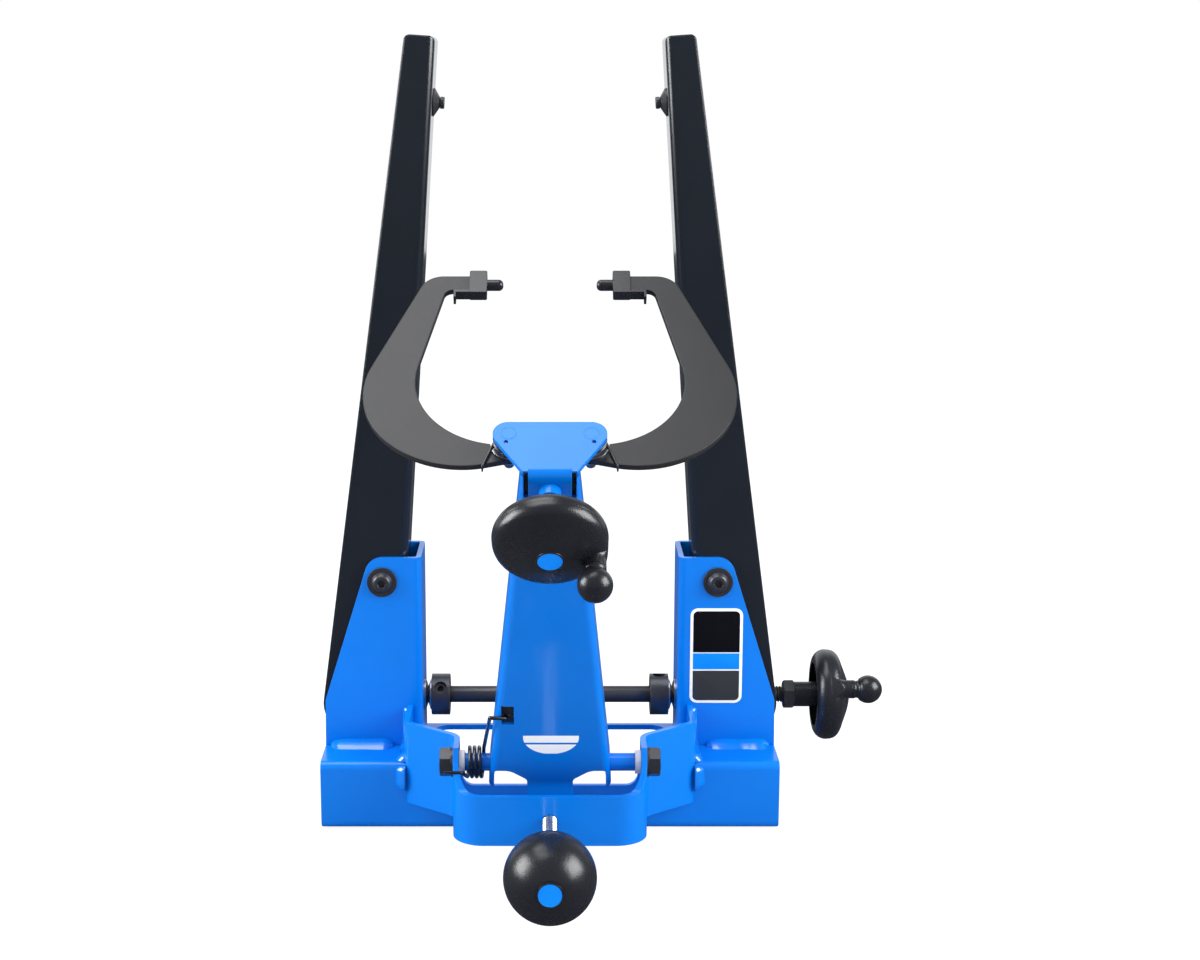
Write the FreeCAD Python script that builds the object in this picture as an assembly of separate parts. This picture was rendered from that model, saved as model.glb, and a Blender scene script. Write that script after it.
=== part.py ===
"""Bicycle wheel truing stand, in millimetres.

X runs across the stand, with the crank on the +X side. Y runs from the nose in
front, at -Y, to the back. Z is up. The origin is the centre of the four bench
holes, on the underside of the feet.
"""
import FreeCAD, Part
import math
import os

V = FreeCAD.Vector

# Folded plates of the frame
plate = 3.4
fold = 5.0
overrun = 2.0

# Deck with its two feet
deck_width = 300.0
deck_depth = 86.4
deck_height = 45.3
deck_corner = 2.0
lip_depth = 22.0
opening_front_half = 57.4
opening_rear_half = 82.0
opening_rear_strip = 8.0
opening_corner = 10.0
notch_floor = 30.0
notch_corner = 8.0
bench_hole_radius = 4.25
bench_hole_end_inset = 25.0
bench_hole_edge_inset = 11.2

# Nose strap
strap = 3.6
nose_floor = 18.5
nose_side_top = 73.3
nose_front_top = 50.4
nose_reach = 76.5
nose_half = 60.6
nose_leg_half = 94.9
nose_leg_bend = 9.0
nose_diagonal_reach = 27.0
nose_side_bend = 12.0
nose_corner = 20.0
nose_slope_start = 51.0
nose_slope_end = 70.0
nose_edge_round = 6.0

# Brackets
bracket_set_back = 35.8
bracket_web_half = 84.9
bracket_top = 174.1
bracket_shoulder = 76.8
bracket_edge_gap = 12.95
bracket_crown = 12.0
bracket_flange_side = 0.4

# Upright pivots
pivot_half = 110.6
pivot_height = 157.8
pivot_shank = 4.0
pivot_sleeve_radius = 6.5
pivot_bore_gap = 0.2
running_gap = 0.08
pivot_head_radius = 6.9
pivot_head_height = 4.4
pivot_head_edge = 1.1
pivot_head_top = 5.2
pivot_head_round = 2.2
pivot_socket_flats = 5.0
pivot_socket_depth = 2.6
pivot_washer_radius = 9.8
pivot_washer_thick = 1.6
pivot_nut_flats = 13.0
pivot_nut_height = 8.0
pivot_tail = 2.5
shim_radius = 12.0
shim_gap = 0.1

# Uprights
upright_plate = 3.4
upright_fold = 5.0
upright_depth = 42.0
upright_lean = 3.75
upright_above = 353.0
upright_below = 108.0
upright_width_top = 19.4
upright_width_low = 52.4
upright_pivot_inset = 15.5
upright_toe_round = 22.0
upright_heel_round = 9.0
upright_crown_round = 4.0
rod_window_half = 8.5
rod_window_rise = 4.5
rod_window_round = 7.25

# Axle cones
cone_drop = 41.1
cone_base_radius = 8.9
cone_base_edge = 0.8
cone_neck_radius = 2.8
cone_length = 4.6
cone_tip_radius = 3.8
cone_tip_length = 2.6
cone_tip_round = 0.65
cone_stud_radius = 4.0
cone_stud_tail = 1.6
cone_nut_flats = 13.0
cone_nut_height = 6.5

# Cross rod and its fittings
rod_height = 73.0
rod_radius = 5.55
rod_left_end = 134.0
rod_right_end = 184.0
trunnion_radius = 9.5
trunnion_side_gap = 0.5
journal_radius = 5.0
journal_gap = 0.25
journal_rise = 0.75
collar_radius = 13.9
collar_inner_end = 67.8
collar_outer_end = 80.0
collar_screw_radius = 4.3
collar_screw_socket = 4.0
collar_screw_sink = 2.8
collar_screw_lift = 36.0
spring_washer_radius = 10.2
spring_washer_thick = 0.9
jam_nut_start = 158.0
jam_nut_height = 7.3
jam_nut_flats = 17.0

# Hand knobs with a turning grip, on the rod and on the spread screw
knob_radius = 30.2
knob_rim_radius = 24.6
knob_rim_depth = 9.0
knob_dome = 15.0
knob_crown_share = 0.62
knob_wall = 3.2
knob_hub_radius = 8.4
knob_hub_length = 13.4
post_offset = 23.9
post_radius = 6.1
post_flare = 3.4
post_flare_height = 8.0
post_flare_round = 5.0
post_end = 22.5
grip_gap = 0.25
grip_neck = 1.4
grip_waist_share = 0.78
grip_waist_pinch = 1.0
grip_ball_radius = 9.3
grip_ball_centre = 33.5
grip_pin_radius = 2.6
grip_pin_depth = 12.0
grip_pin_reach = 12.0
crank_rest = 25.0
spread_rest = -16.0

# Caliper arm pivot
arm_pivot_out = 45.0
arm_pivot_height = 62.0
arm_lean = 36.0
arm_tube_radius = 5.6
arm_tube_half = 53.3
arm_spacer_radius = 7.4
arm_bolt_radius = 4.0
arm_bolt_reach = 22.0
arm_bolt_flats = 16.4
arm_bolt_head = 8.6
arm_bolt_washer_radius = 9.4
arm_bolt_washer = 1.4

# Caliper arm sheet
arm_sheet = 3.0
arm_fold = 4.6
arm_web_front = 12.0
arm_foot = 10.2
arm_half_at_pivot = 37.6
arm_taper = 0.0804
arm_flange_low = 26.0
arm_flange_high = 15.0
arm_head_height = 277.7
arm_flange_stop = 0.6
arm_foot_round = 6.0
neck_half = 11.5
neck_slot_half = 13.9
neck_slot_start = 260.0
neck_bend = 6.0
hook_window_left = 29.2
hook_window_right = 21.7
hook_window_low = 56.6
hook_window_high = 74.7
web_hem = 7.4
web_hem_half = 25.0
web_hem_drop = 9.5
tongue_half = 14.35
tongue_bend_drop = 6.0
tongue_length = 25.0
tongue_bend = 47.5

# Head plate and caliper studs
head_throat_half = 14.4
head_throat_depth = 3.4
stud_half = 22.1
stud_depth = 31.0
head_corner = 8.5
spring_hole_radius = 1.2
spring_hole_depth = 24.9
spring_hole_half = 23.4
stud_radius = 2.65
stud_tail = 5.6

# Calipers
caliper_plate = 3.4
caliper_drop = 10.3
caliper_hub_radius = 9.6
caliper_bore_radius = 5.0
finger_outer_reach = 136.9
finger_width = 11.8
finger_end = 16.4
finger_shoulder = 49.0
finger_shoulder_round = 13.7
finger_root = 38.1
finger_root_round = 5.0
bow_outer_side = 114.9
bow_outer_drop = 38.3
bow_outer_round = 56.0
bow_inner_side = 61.8
bow_inner_rise = 11.9
bow_inner_round = 50.0
tail_reach = 16.0
tail_nose_radius = 3.5
tail_half_width = 2.7

# Finger tips
tip_block_inner = 14.4
tip_block_outer = 24.6
tip_block_reach = 18.4
tip_block_thick = 6.4
tip_block_round = 1.0
tip_nose_radius = 3.3
tip_nose_length = 9.4
tip_clip_length = 9.0
tip_clip_half = 3.0
tip_clip_rise = 2.35
tip_nose_round = 2.65
tip_hook_drop = 4.0
tip_hook_thick = 1.4

# Fasteners and springs at the calipers
hub_spacer_radius = 4.3
hub_washer_radius = 9.8
hub_washer_thick = 1.0
hub_nut_flats = 9.0
hub_nut_height = 4.2
seat_gap = 0.1
return_wire = 1.4
return_coil_radius = 5.4
return_pitch = 1.95
return_turns = 1
return_bend = 1.6
return_leg = 14.0
return_leg_back = 15.4
return_hook = 4.4
return_rise = 0.65

# Spread screw, from the arm's web to the caliper tails
spread_drop = 12.0
spread_screw_radius = 4.0
spread_boss_radius = 6.0
spread_boss_height = 6.0
spread_knob_back = 25.0
spread_pad_radius = 8.2
spread_pad_thick = 4.6
spread_screw_tip = 3.0

# Height screw, through the nose to the arm's tongue
height_screw_level = 34.0
height_screw_radius = 4.75
height_nut_flats = 18.0
height_nut_thick = 8.0
height_knob_radius = 27.0
height_knob_out = 87.3
height_knob_flat = 25.5
height_knob_neck = 9.5
height_knob_neck_out = 26.0
height_pad_radius = 4.5
height_pad_length = 6.0
height_pad_nose = 5.5
height_pad_out = 15.44
height_pad_socket = 2.6

# Arm torsion spring
tilt_wire = 2.4
tilt_coil_radius = 9.2
tilt_pitch = 2.97
tilt_coil_start = 52.0
tilt_turns = 3
tilt_bend = 3.2
tilt_frame_forward = 17.9
tilt_frame_drop = 0.5
tilt_frame_tail = 13.2
tilt_hook_forward = 2.2
tilt_hook_height = 65.2
tilt_hook_drop = 3.0
tilt_hook_run = 11.0
tilt_hook_tail = 6.0

# Places worked out from the sizes above
front_y = -deck_depth / 2
back_y = deck_depth / 2
bracket_front_y = front_y + bracket_set_back
bracket_mid_y = (bracket_front_y + back_y) / 2
nose_inner_y = front_y - nose_reach + strap
arm_pivot = V(0, front_y - arm_pivot_out, arm_pivot_height)
pivot_point = V(pivot_half, bracket_mid_y, pivot_height)
cone_height = upright_above - cone_drop
finger_inner_reach = finger_outer_reach - finger_width


# Building helpers


def corner_path(corners, closed):
    """Edges through the corners (a, b, radius), each rounded by its own radius."""
    points = [V(a, b, 0) for a, b, _ in corners]
    edges, ends = [], []
    for index, (point, (_, _, radius)) in enumerate(zip(points, corners)):
        first_or_last = index in (0, len(points) - 1)
        if radius == 0 or (first_or_last and not closed):
            ends.append((point, point, None))
            continue
        before = (points[index - 1] - point).normalize()
        after = (points[(index + 1) % len(points)] - point).normalize()
        half_angle = before.getAngle(after) / 2
        reach = radius / math.tan(half_angle)
        bisector = (before + after).normalize()
        centre = point + bisector * (radius / math.sin(half_angle))
        ends.append((point + before * reach, point + after * reach, centre - bisector * radius))
    for index, (start, end, middle) in enumerate(ends):
        if middle is not None:
            edges.append(Part.Arc(start, middle, end).toShape())
        if index + 1 < len(ends) or closed:
            following = ends[(index + 1) % len(ends)][0]
            if (following - end).Length > 0:
                edges.append(Part.LineSegment(end, following).toShape())
    return edges


def on_plane(shape, plane):
    """Lay a flat XY shape on the plane xy, xz or yz, its first axis along the plane's first."""
    if plane == "xz":
        shape.Placement = FreeCAD.Placement(V(0, 0, 0), FreeCAD.Rotation(V(1, 0, 0), 90))
    if plane == "yz":
        shape.Placement = FreeCAD.Placement(V(0, 0, 0), FreeCAD.Rotation(V(1, 1, 1), 120))
    return shape


NORMALS = {"xy": V(0, 0, 1), "xz": V(0, 1, 0), "yz": V(1, 0, 0)}


def prism(corners, plane, start, end):
    """Solid of a rounded outline on a plane, from start to end along the plane's normal."""
    face = on_plane(Part.Face(Part.Wire(corner_path(corners, True))), plane)
    face.translate(NORMALS[plane] * start)
    return face.extrude(NORMALS[plane] * (end - start))


def box(low, high):
    """Box between two opposite corners."""
    return Part.makeBox(high[0] - low[0], high[1] - low[1], high[2] - low[2], V(*low))


def rectangle(low_a, low_b, high_a, high_b, radius):
    """Corners of a rectangle with one corner radius."""
    places = [(low_a, low_b), (high_a, low_b), (high_a, high_b), (low_a, high_b)]
    return [(a, b, radius) for a, b in places]


def rod_between(radius, start, end):
    """Round bar between two points."""
    return Part.makeCylinder(radius, (end - start).Length, start, end - start)


def ring(outer, inner, start, end):
    """Round tube between two points."""
    return rod_between(outer, start, end).cut(rod_between(inner, start, end))


def turned(path_edges, origin, direction):
    """Solid turned from a closed profile of (radius, height), about a line."""
    face = on_plane(Part.Face(Part.Wire(path_edges)), "xz")
    return aimed(face.revolve(V(0, 0, 0), V(0, 0, 1), 360), origin, direction)


def aimed(shape, origin, direction):
    """Move a shape built on Z to an origin, with its Z along a direction."""
    turn = FreeCAD.Rotation(V(0, 0, 1), direction)
    shape.Placement = FreeCAD.Placement(origin, turn) * shape.Placement
    return shape


def hexagon(flats, start, end):
    """Hexagonal bar between two points."""
    reach = flats / 2 / math.cos(math.pi / 6)
    angles = [math.pi / 3 * side for side in range(6)]
    corners = [(reach * math.cos(a), reach * math.sin(a), 0) for a in angles]
    bar = prism(corners, "xy", 0, (end - start).Length)
    return aimed(bar, start, end - start)


def hex_nut(flats, bore, start, end):
    """Hexagonal nut with chamfered corners and a plain bore."""
    blank = hexagon(flats, start, end)
    length = (end - start).Length
    rim, edge = flats / 2 / math.cos(math.pi / 6), flats / 2
    bevel = (rim - edge) / 2
    corners = [
        (0, 0, 0),
        (edge, 0, 0),
        (rim, bevel, 0),
        (rim, length - bevel, 0),
        (edge, length, 0),
        (0, length, 0),
    ]
    limit = turned(corner_path(corners, True), start, end - start)
    return blank.common(limit).cut(rod_between(bore, start, end))


def offset_corners(corners, distance):
    """Corners of an open path moved to its left by a distance, with matching radii."""
    points = [V(a, b, 0) for a, b, _ in corners]
    directions = [(after - before).normalize() for before, after in zip(points, points[1:])]
    lefts = [V(-d.y, d.x, 0) for d in directions]
    moved = []
    for index, point in enumerate(points):
        before = lefts[max(index - 1, 0)]
        after = lefts[min(index, len(lefts) - 1)]
        shift = (before + after) * (distance / (1 + before.dot(after)))
        turn = directions[max(index - 1, 0)].cross(directions[min(index, len(lefts) - 1)]).z
        radius = corners[index][2]
        if radius > 0:
            radius = radius - distance if turn > 0 else radius + distance
        moved.append((point.x + shift.x, point.y + shift.y, radius))
    return moved


def strip(corners, thickness):
    """Closed edges of a bent strip, its thickness to the left of the open path."""
    inner = offset_corners(corners, thickness)
    near = corner_path(corners, False)
    far = corner_path(inner, False)
    ends = []
    for index in (0, -1):
        outer_end, inner_end = V(*corners[index][:2], 0), V(*inner[index][:2], 0)
        ends.append(Part.LineSegment(outer_end, inner_end).toShape())
    return Part.Wire(Part.__sortEdges__(near + far + ends))


def strip_solid(corners, thickness, plane, start, end):
    """Solid of a bent strip between two places along the plane's normal."""
    face = on_plane(Part.Face(strip(corners, thickness)), plane)
    face.translate(NORMALS[plane] * start)
    return face.extrude(NORMALS[plane] * (end - start))


def mirrored(shape):
    """The same piece on the other side of the stand."""
    return shape.mirror(V(0, 0, 0), V(1, 0, 0))


def fused(first, *others):
    """One solid from pieces that meet, with its seams removed."""
    return first.multiFuse(list(others)).removeSplitter()


# Frame


def base_deck():
    """Folded deck: two feet joined by a low front wall and a rear strip."""
    half = deck_width / 2
    section = rectangle(front_y, 0, back_y, deck_height, fold)
    hollow = rectangle(front_y + plate, plate, back_y - plate, deck_height - plate, fold - plate)
    deck = prism(section, "yz", -half, half).cut(prism(hollow, "yz", -half - overrun, half + overrun))
    lip_front, lip_back = front_y + lip_depth, back_y - lip_depth
    under_gap = box((-half - overrun, lip_front, -overrun), (half + overrun, lip_back, plate + overrun))
    opening_back = back_y - opening_rear_strip
    opening = [
        (-opening_front_half, front_y - overrun, 0),
        (opening_front_half, front_y - overrun, 0),
        (opening_rear_half, opening_back, opening_corner),
        (-opening_rear_half, opening_back, opening_corner),
    ]
    top_cut = prism(opening, "xy", deck_height - plate - overrun, deck_height + overrun)
    notch_top = 2 * deck_height
    notch = rectangle(-opening_front_half, notch_floor, opening_front_half, notch_top, notch_corner)
    front_cut = prism(notch, "xz", front_y - overrun, front_y + plate + overrun)
    middle_cut = box(
        (-opening_rear_half, front_y + plate, -overrun),
        (opening_rear_half, back_y + overrun, deck_height - plate),
    )
    end_outline = rectangle(-half, 0, half, deck_height + fold, deck_corner)
    ends = prism(end_outline, "xz", front_y - overrun, back_y + overrun)
    holes = [
        Part.makeCylinder(bench_hole_radius, plate + 2 * overrun, V(x, y, -overrun))
        for x in (bench_hole_end_inset - half, half - bench_hole_end_inset)
        for y in (front_y + bench_hole_edge_inset, back_y - bench_hole_edge_inset)
    ]
    cuts = under_gap.multiFuse([top_cut, front_cut, middle_cut])
    return deck.cut(cuts).common(ends).cut(holes[0].multiFuse(holes[1:]))


def nose_strap():
    """Strip bent into a loop in front of the deck, with legs back to the brackets."""
    side_y = front_y - nose_diagonal_reach
    tip_y = front_y - nose_reach
    left_half = [
        (-nose_leg_half, bracket_front_y, 0),
        (-nose_leg_half, front_y, nose_leg_bend),
        (-nose_half, side_y, nose_side_bend),
        (-nose_half, tip_y, nose_corner),
    ]
    right_half = [(-a, b, radius) for a, b, radius in reversed(left_half)]
    loop = strip_solid(left_half + right_half, strap, "xy", nose_floor, nose_side_top)
    low_cut = box(
        (-deck_width, front_y, -overrun), (deck_width, bracket_front_y + overrun, deck_height)
    )
    slope_start, slope_end = front_y - nose_slope_start, front_y - nose_slope_end
    slope = [
        (slope_start, nose_side_top + overrun, 0),
        (slope_start, nose_side_top, nose_edge_round),
        (slope_end, nose_front_top, nose_edge_round),
        (tip_y - overrun, nose_front_top, 0),
        (tip_y - overrun, nose_side_top + overrun, 0),
    ]
    top_cut = prism(slope, "yz", -deck_width, deck_width)
    screw_hole = rod_between(
        height_screw_radius + running_gap,
        V(0, tip_y - overrun, height_screw_level),
        V(0, front_y, height_screw_level),
    )
    across = V(nose_leg_half, 0, 0)
    bolts = rod_between(arm_bolt_radius, arm_pivot - across, arm_pivot + across)
    return loop.cut(low_cut).cut(top_cut).cut(screw_hole).cut(bolts)


def bracket():
    """Right-hand bracket: an upright channel open to the outside."""
    outer_x = deck_width / 2
    section = rectangle(bracket_web_half, bracket_front_y, outer_x + fold, back_y, fold)
    hollow = rectangle(
        bracket_web_half + plate, bracket_front_y + plate,
        outer_x + 2 * fold, back_y - plate, fold - plate,
    )
    channel = prism(section, "xy", deck_height, bracket_top).cut(
        prism(hollow, "xy", deck_height - overrun, bracket_top + overrun)
    )
    slope_run = outer_x - pivot_half
    slope_rise = pivot_height - bracket_shoulder
    to_pivot = math.atan2(slope_run, slope_rise)
    lean = to_pivot - math.asin(bracket_edge_gap / math.hypot(slope_run, slope_rise))
    crown_x = outer_x - (bracket_top - bracket_shoulder) * math.tan(lean)
    outline = [
        (bracket_web_half - overrun, deck_height, 0),
        (outer_x, deck_height, 0),
        (outer_x - bracket_flange_side, bracket_shoulder, 0),
        (crown_x, bracket_top, bracket_crown),
        (bracket_web_half - overrun, bracket_top, 0),
    ]
    outline_solid = prism(outline, "xz", front_y, back_y + overrun)
    pivot_hole = rod_between(
        pivot_shank + pivot_bore_gap, pivot_line(front_y), pivot_line(back_y + overrun)
    )
    rod_hole = rod_between(
        rod_radius + running_gap, V(0, bracket_mid_y, rod_height), V(outer_x, bracket_mid_y, rod_height)
    )
    return channel.common(outline_solid).cut(pivot_hole).cut(rod_hole)


def height_nut():
    """Weld nut behind the nose's front wall."""
    start = V(0, nose_inner_y, height_screw_level)
    end = V(0, nose_inner_y + height_nut_thick, height_screw_level)
    return hex_nut(height_nut_flats, height_screw_radius + running_gap, start, end)


# Upright pivots


def pivot_line(y):
    """Point on the right pivot's axis."""
    return V(pivot_half, y, pivot_height)


def pivot_bolt():
    """Button-head bolt through bracket, sleeve and nut."""
    seat = bracket_front_y - pivot_washer_thick
    tail = back_y + pivot_washer_thick + pivot_nut_height + pivot_tail
    shank = rod_between(pivot_shank, pivot_line(seat), pivot_line(tail))
    dome = [
        (0, 0, 0),
        (pivot_head_radius, 0, 0),
        (pivot_head_radius, pivot_head_edge, 0),
        (pivot_head_top, pivot_head_height, pivot_head_round),
        (0, pivot_head_height, 0),
    ]
    head = turned(corner_path(dome, True), pivot_line(seat), V(0, -1, 0))
    face = pivot_line(seat - pivot_head_height)
    socket = hexagon(pivot_socket_flats, face, face + V(0, pivot_socket_depth, 0))
    return shank.fuse(head).cut(socket)


def pivot_washers():
    """Front and rear washers of the right pivot."""
    bore = pivot_shank + pivot_bore_gap
    return [
        ring(pivot_washer_radius, bore, pivot_line(start), pivot_line(start + pivot_washer_thick))
        for start in (bracket_front_y - pivot_washer_thick, back_y)
    ]


def pivot_nut():
    """Nut at the back of the right pivot."""
    start = back_y + pivot_washer_thick
    end = start + pivot_nut_height
    return hex_nut(pivot_nut_flats, pivot_shank, pivot_line(start), pivot_line(end))


def pivot_sleeve():
    """Sleeve clamped between the bracket's flanges, on which the upright swings."""
    return ring(
        pivot_sleeve_radius, pivot_shank + pivot_bore_gap,
        pivot_line(bracket_front_y + plate), pivot_line(back_y - plate),
    )


def pivot_shims():
    """Thin washers that centre the upright between the flanges."""
    upright_front = bracket_mid_y - upright_depth / 2
    upright_back = bracket_mid_y + upright_depth / 2
    spaces = [(bracket_front_y + plate, upright_front), (upright_back, back_y - plate)]
    bore = pivot_sleeve_radius + running_gap
    return [
        ring(shim_radius, bore, pivot_line(start + shim_gap), pivot_line(end - shim_gap))
        for start, end in spaces
    ]


# Uprights, built in a frame whose X starts at the web's inner face and whose Z starts at the pivot


def place_upright(shape):
    """Lean a shape in over the right pivot."""
    shape.translate(V(-upright_pivot_inset, 0, 0))
    turn = FreeCAD.Rotation(V(0, 1, 0), -upright_lean)
    shape.Placement = FreeCAD.Placement(pivot_point, turn) * shape.Placement
    return shape


def trunnion_drop():
    """Distance from the pivot down the upright to the cross nut."""
    return (pivot_height - rod_height) / math.cos(math.radians(upright_lean))


def trunnion_x():
    """Place of the right cross nut along the rod."""
    return pivot_half + (pivot_height - rod_height) * math.tan(math.radians(upright_lean))


def upright():
    """Right-hand upright: a tapered channel with its flanges turned outwards."""
    half_depth = upright_depth / 2
    reach = upright_width_low + upright_fold
    section = rectangle(0, -half_depth, reach, half_depth, upright_fold)
    hollow = rectangle(
        upright_plate, -half_depth + upright_plate,
        reach + upright_fold, half_depth - upright_plate, upright_fold - upright_plate,
    )
    channel = prism(section, "xy", -upright_below, upright_above).cut(
        prism(hollow, "xy", -upright_below - overrun, upright_above + overrun)
    )
    outline = [
        (0, -upright_below, upright_heel_round),
        (upright_width_low, -upright_below, upright_toe_round),
        (upright_width_top, upright_above, upright_crown_round),
        (0, upright_above, upright_crown_round),
    ]
    body = channel.common(prism(outline, "xz", -upright_depth, upright_depth))
    pivot_hole = rod_between(
        pivot_sleeve_radius + running_gap,
        V(upright_pivot_inset, -upright_depth, 0),
        V(upright_pivot_inset, upright_depth, 0),
    )
    slot_middle = -trunnion_drop() - journal_rise + journal_gap
    slot = rectangle(
        upright_pivot_inset - journal_radius - journal_gap,
        slot_middle - journal_radius - journal_rise,
        upright_pivot_inset + journal_radius + journal_gap,
        slot_middle + journal_radius + journal_rise,
        journal_radius,
    )
    window_middle = -trunnion_drop()
    window = rectangle(
        -rod_window_half, window_middle - rod_window_half - rod_window_rise / 2,
        rod_window_half, window_middle + rod_window_half + rod_window_rise / 2,
        rod_window_round,
    )
    cone_hole = rod_between(
        cone_stud_radius, V(-overrun, 0, cone_height), V(upright_plate + overrun, 0, cone_height)
    )
    cuts = [
        prism(slot, "xz", -upright_depth, upright_depth),
        prism(window, "yz", -overrun, upright_plate + overrun),
        cone_hole,
    ]
    return place_upright(body.cut(pivot_hole.multiFuse(cuts)))


def axle_cone():
    """Cone whose tip carries the hub's axle, with its stud through the upright's web."""
    profile = [
        (0, 0, 0),
        (cone_base_radius, 0, 0),
        (cone_base_radius, cone_base_edge, 0),
        (cone_neck_radius, cone_length, 0),
        (cone_tip_radius, cone_length, 0),
        (cone_tip_radius, cone_length + cone_tip_length, cone_tip_round),
        (0, cone_length + cone_tip_length, 0),
    ]
    cone = turned(corner_path(profile, True), V(0, 0, cone_height), V(-1, 0, 0))
    tail = upright_plate + cone_nut_height + cone_stud_tail
    stud = rod_between(cone_stud_radius, V(0, 0, cone_height), V(tail, 0, cone_height))
    return place_upright(cone.fuse(stud))


def cone_nut():
    """Nut that clamps the cone behind the web."""
    start = V(upright_plate, 0, cone_height)
    end = V(upright_plate + cone_nut_height, 0, cone_height)
    return place_upright(hex_nut(cone_nut_flats, cone_stud_radius, start, end))


def trunnion():
    """Right cross nut: threaded on the rod, with journals in the upright's slots."""
    x = trunnion_x()
    inner_half = upright_depth / 2 - upright_plate - trunnion_side_gap
    outer_half = upright_depth / 2

    def at(y):
        return V(x, bracket_mid_y + y, rod_height)

    body = rod_between(trunnion_radius, at(-inner_half), at(inner_half))
    journals = rod_between(journal_radius, at(-outer_half), at(outer_half))
    across = V(2 * trunnion_radius, 0, 0)
    bore = rod_between(rod_radius + running_gap, at(0) - across, at(0) + across)
    return body.fuse(journals).cut(bore)


# Cross rod


def rod_point(x):
    """Point on the cross rod's axis."""
    return V(x, bracket_mid_y, rod_height)


def collar_screw_lines():
    """Side of each collar with the direction of its screw: forwards and up, and straight up."""
    lift = math.radians(collar_screw_lift)
    return (-1, V(0, -math.cos(lift), math.sin(lift))), (1, V(0, 0, 1))


def cross_rod():
    """Rod with a left-hand and a right-hand thread, through both brackets."""
    return rod_between(rod_radius, rod_point(-rod_left_end), rod_point(rod_right_end))


def rod_collars():
    """Two shaft collars that keep the rod centred between the brackets."""
    collars = []
    for side, direction in collar_screw_lines():
        start, end = rod_point(side * collar_inner_end), rod_point(side * collar_outer_end)
        middle = (start + end) * 0.5
        hole = rod_between(collar_screw_radius, middle, middle + direction * (2 * collar_radius))
        collars.append(ring(collar_radius, rod_radius, start, end).cut(hole))
    return collars


def collar_screws():
    """Set screws that clamp the collars on the rod."""
    screws = []
    for side, direction in collar_screw_lines():
        middle = rod_point(side * (collar_inner_end + collar_outer_end) / 2)
        length = collar_radius - rod_radius - collar_screw_sink
        start = middle + direction * rod_radius
        screw = Part.makeCylinder(collar_screw_radius, length, start, direction)
        socket_start = start + direction * (length - collar_screw_socket)
        socket = hexagon(collar_screw_socket, socket_start, start + direction * (length + overrun))
        screws.append(screw.cut(socket))
    return screws


def spring_washers():
    """Two disc springs on each side, back to back, between collar and bracket."""
    rise = (bracket_web_half - collar_outer_end - 3 * seat_gap) / 2 - spring_washer_thick
    inner = rod_radius + pivot_bore_gap
    section = [
        (inner, rise, 0),
        (spring_washer_radius, 0, 0),
        (spring_washer_radius, spring_washer_thick, 0),
        (inner, rise + spring_washer_thick, 0),
    ]
    springs = []
    for side in (-1, 1):
        for x, facing in ((collar_outer_end + seat_gap, side), (bracket_web_half - seat_gap, -side)):
            spring = turned(corner_path(section, True), rod_point(side * x), V(facing, 0, 0))
            springs.append(spring)
    return springs


def crank_jam_nut():
    """Nut that locks the crank knob on the rod."""
    start, end = rod_point(jam_nut_start), rod_point(jam_nut_start + jam_nut_height)
    return hex_nut(jam_nut_flats, rod_radius, start, end)


# Hand knob, built with its open back on Z = 0 and its dome towards +Z


def dish(radius, rim_radius, depth, dome):
    """Closed profile of a domed dish, from its back plane to its apex."""
    rim = V(rim_radius, 0, 0)
    shoulder = V(radius, depth, 0)
    bulge = math.sqrt(2) / 2
    side = V(rim_radius + (radius - rim_radius) * bulge, depth * (1 - bulge), 0)
    crown = V(radius * bulge, depth + dome * knob_crown_share, 0)
    apex = V(0, depth + dome, 0)
    dome_curve = Part.BSplineCurve()
    dome_curve.interpolate([shoulder, crown, apex], InitialTangent=V(0, 1, 0), FinalTangent=V(-1, 0, 0))
    return [
        Part.LineSegment(V(0, 0, 0), rim).toShape(),
        Part.Arc(rim, side, shoulder).toShape(),
        dome_curve.toShape(),
        Part.LineSegment(apex, V(0, 0, 0)).toShape(),
    ]


def knob_shell(bore):
    """Domed shell with its hub and the post that carries the grip."""
    origin, up = V(0, 0, 0), V(0, 0, 1)
    outer = dish(knob_radius, knob_rim_radius, knob_rim_depth, knob_dome)
    hollow = dish(
        knob_radius - knob_wall, knob_rim_radius - knob_wall, knob_rim_depth, knob_dome - knob_wall
    )
    shell = turned(outer, origin, up).cut(turned(hollow, origin, up))
    crown_inside = knob_rim_depth + knob_dome - knob_wall
    hub_end = crown_inside + knob_wall / 2
    hub = rod_between(knob_hub_radius, V(0, 0, -knob_hub_length), V(0, 0, hub_end))
    flare = [
        (0, knob_rim_depth, 0),
        (post_radius + post_flare, knob_rim_depth, 0),
        (post_radius, knob_rim_depth + post_flare_height, post_flare_round),
        (post_radius, post_end, 0),
        (0, post_end, 0),
    ]
    post = turned(corner_path(flare, True), V(post_offset, 0, 0), up)
    post = post.common(rod_between(knob_radius, origin, V(0, 0, post_end)))
    pin_start = V(post_offset, 0, post_end - grip_pin_depth)
    pin_bore = rod_between(grip_pin_radius, pin_start, V(post_offset, 0, post_end))
    rod_bore = rod_between(bore, V(0, 0, -knob_hub_length), V(0, 0, knob_rim_depth - knob_wall))
    return fused(shell, hub, post).cut(pin_bore).cut(rod_bore)


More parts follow.
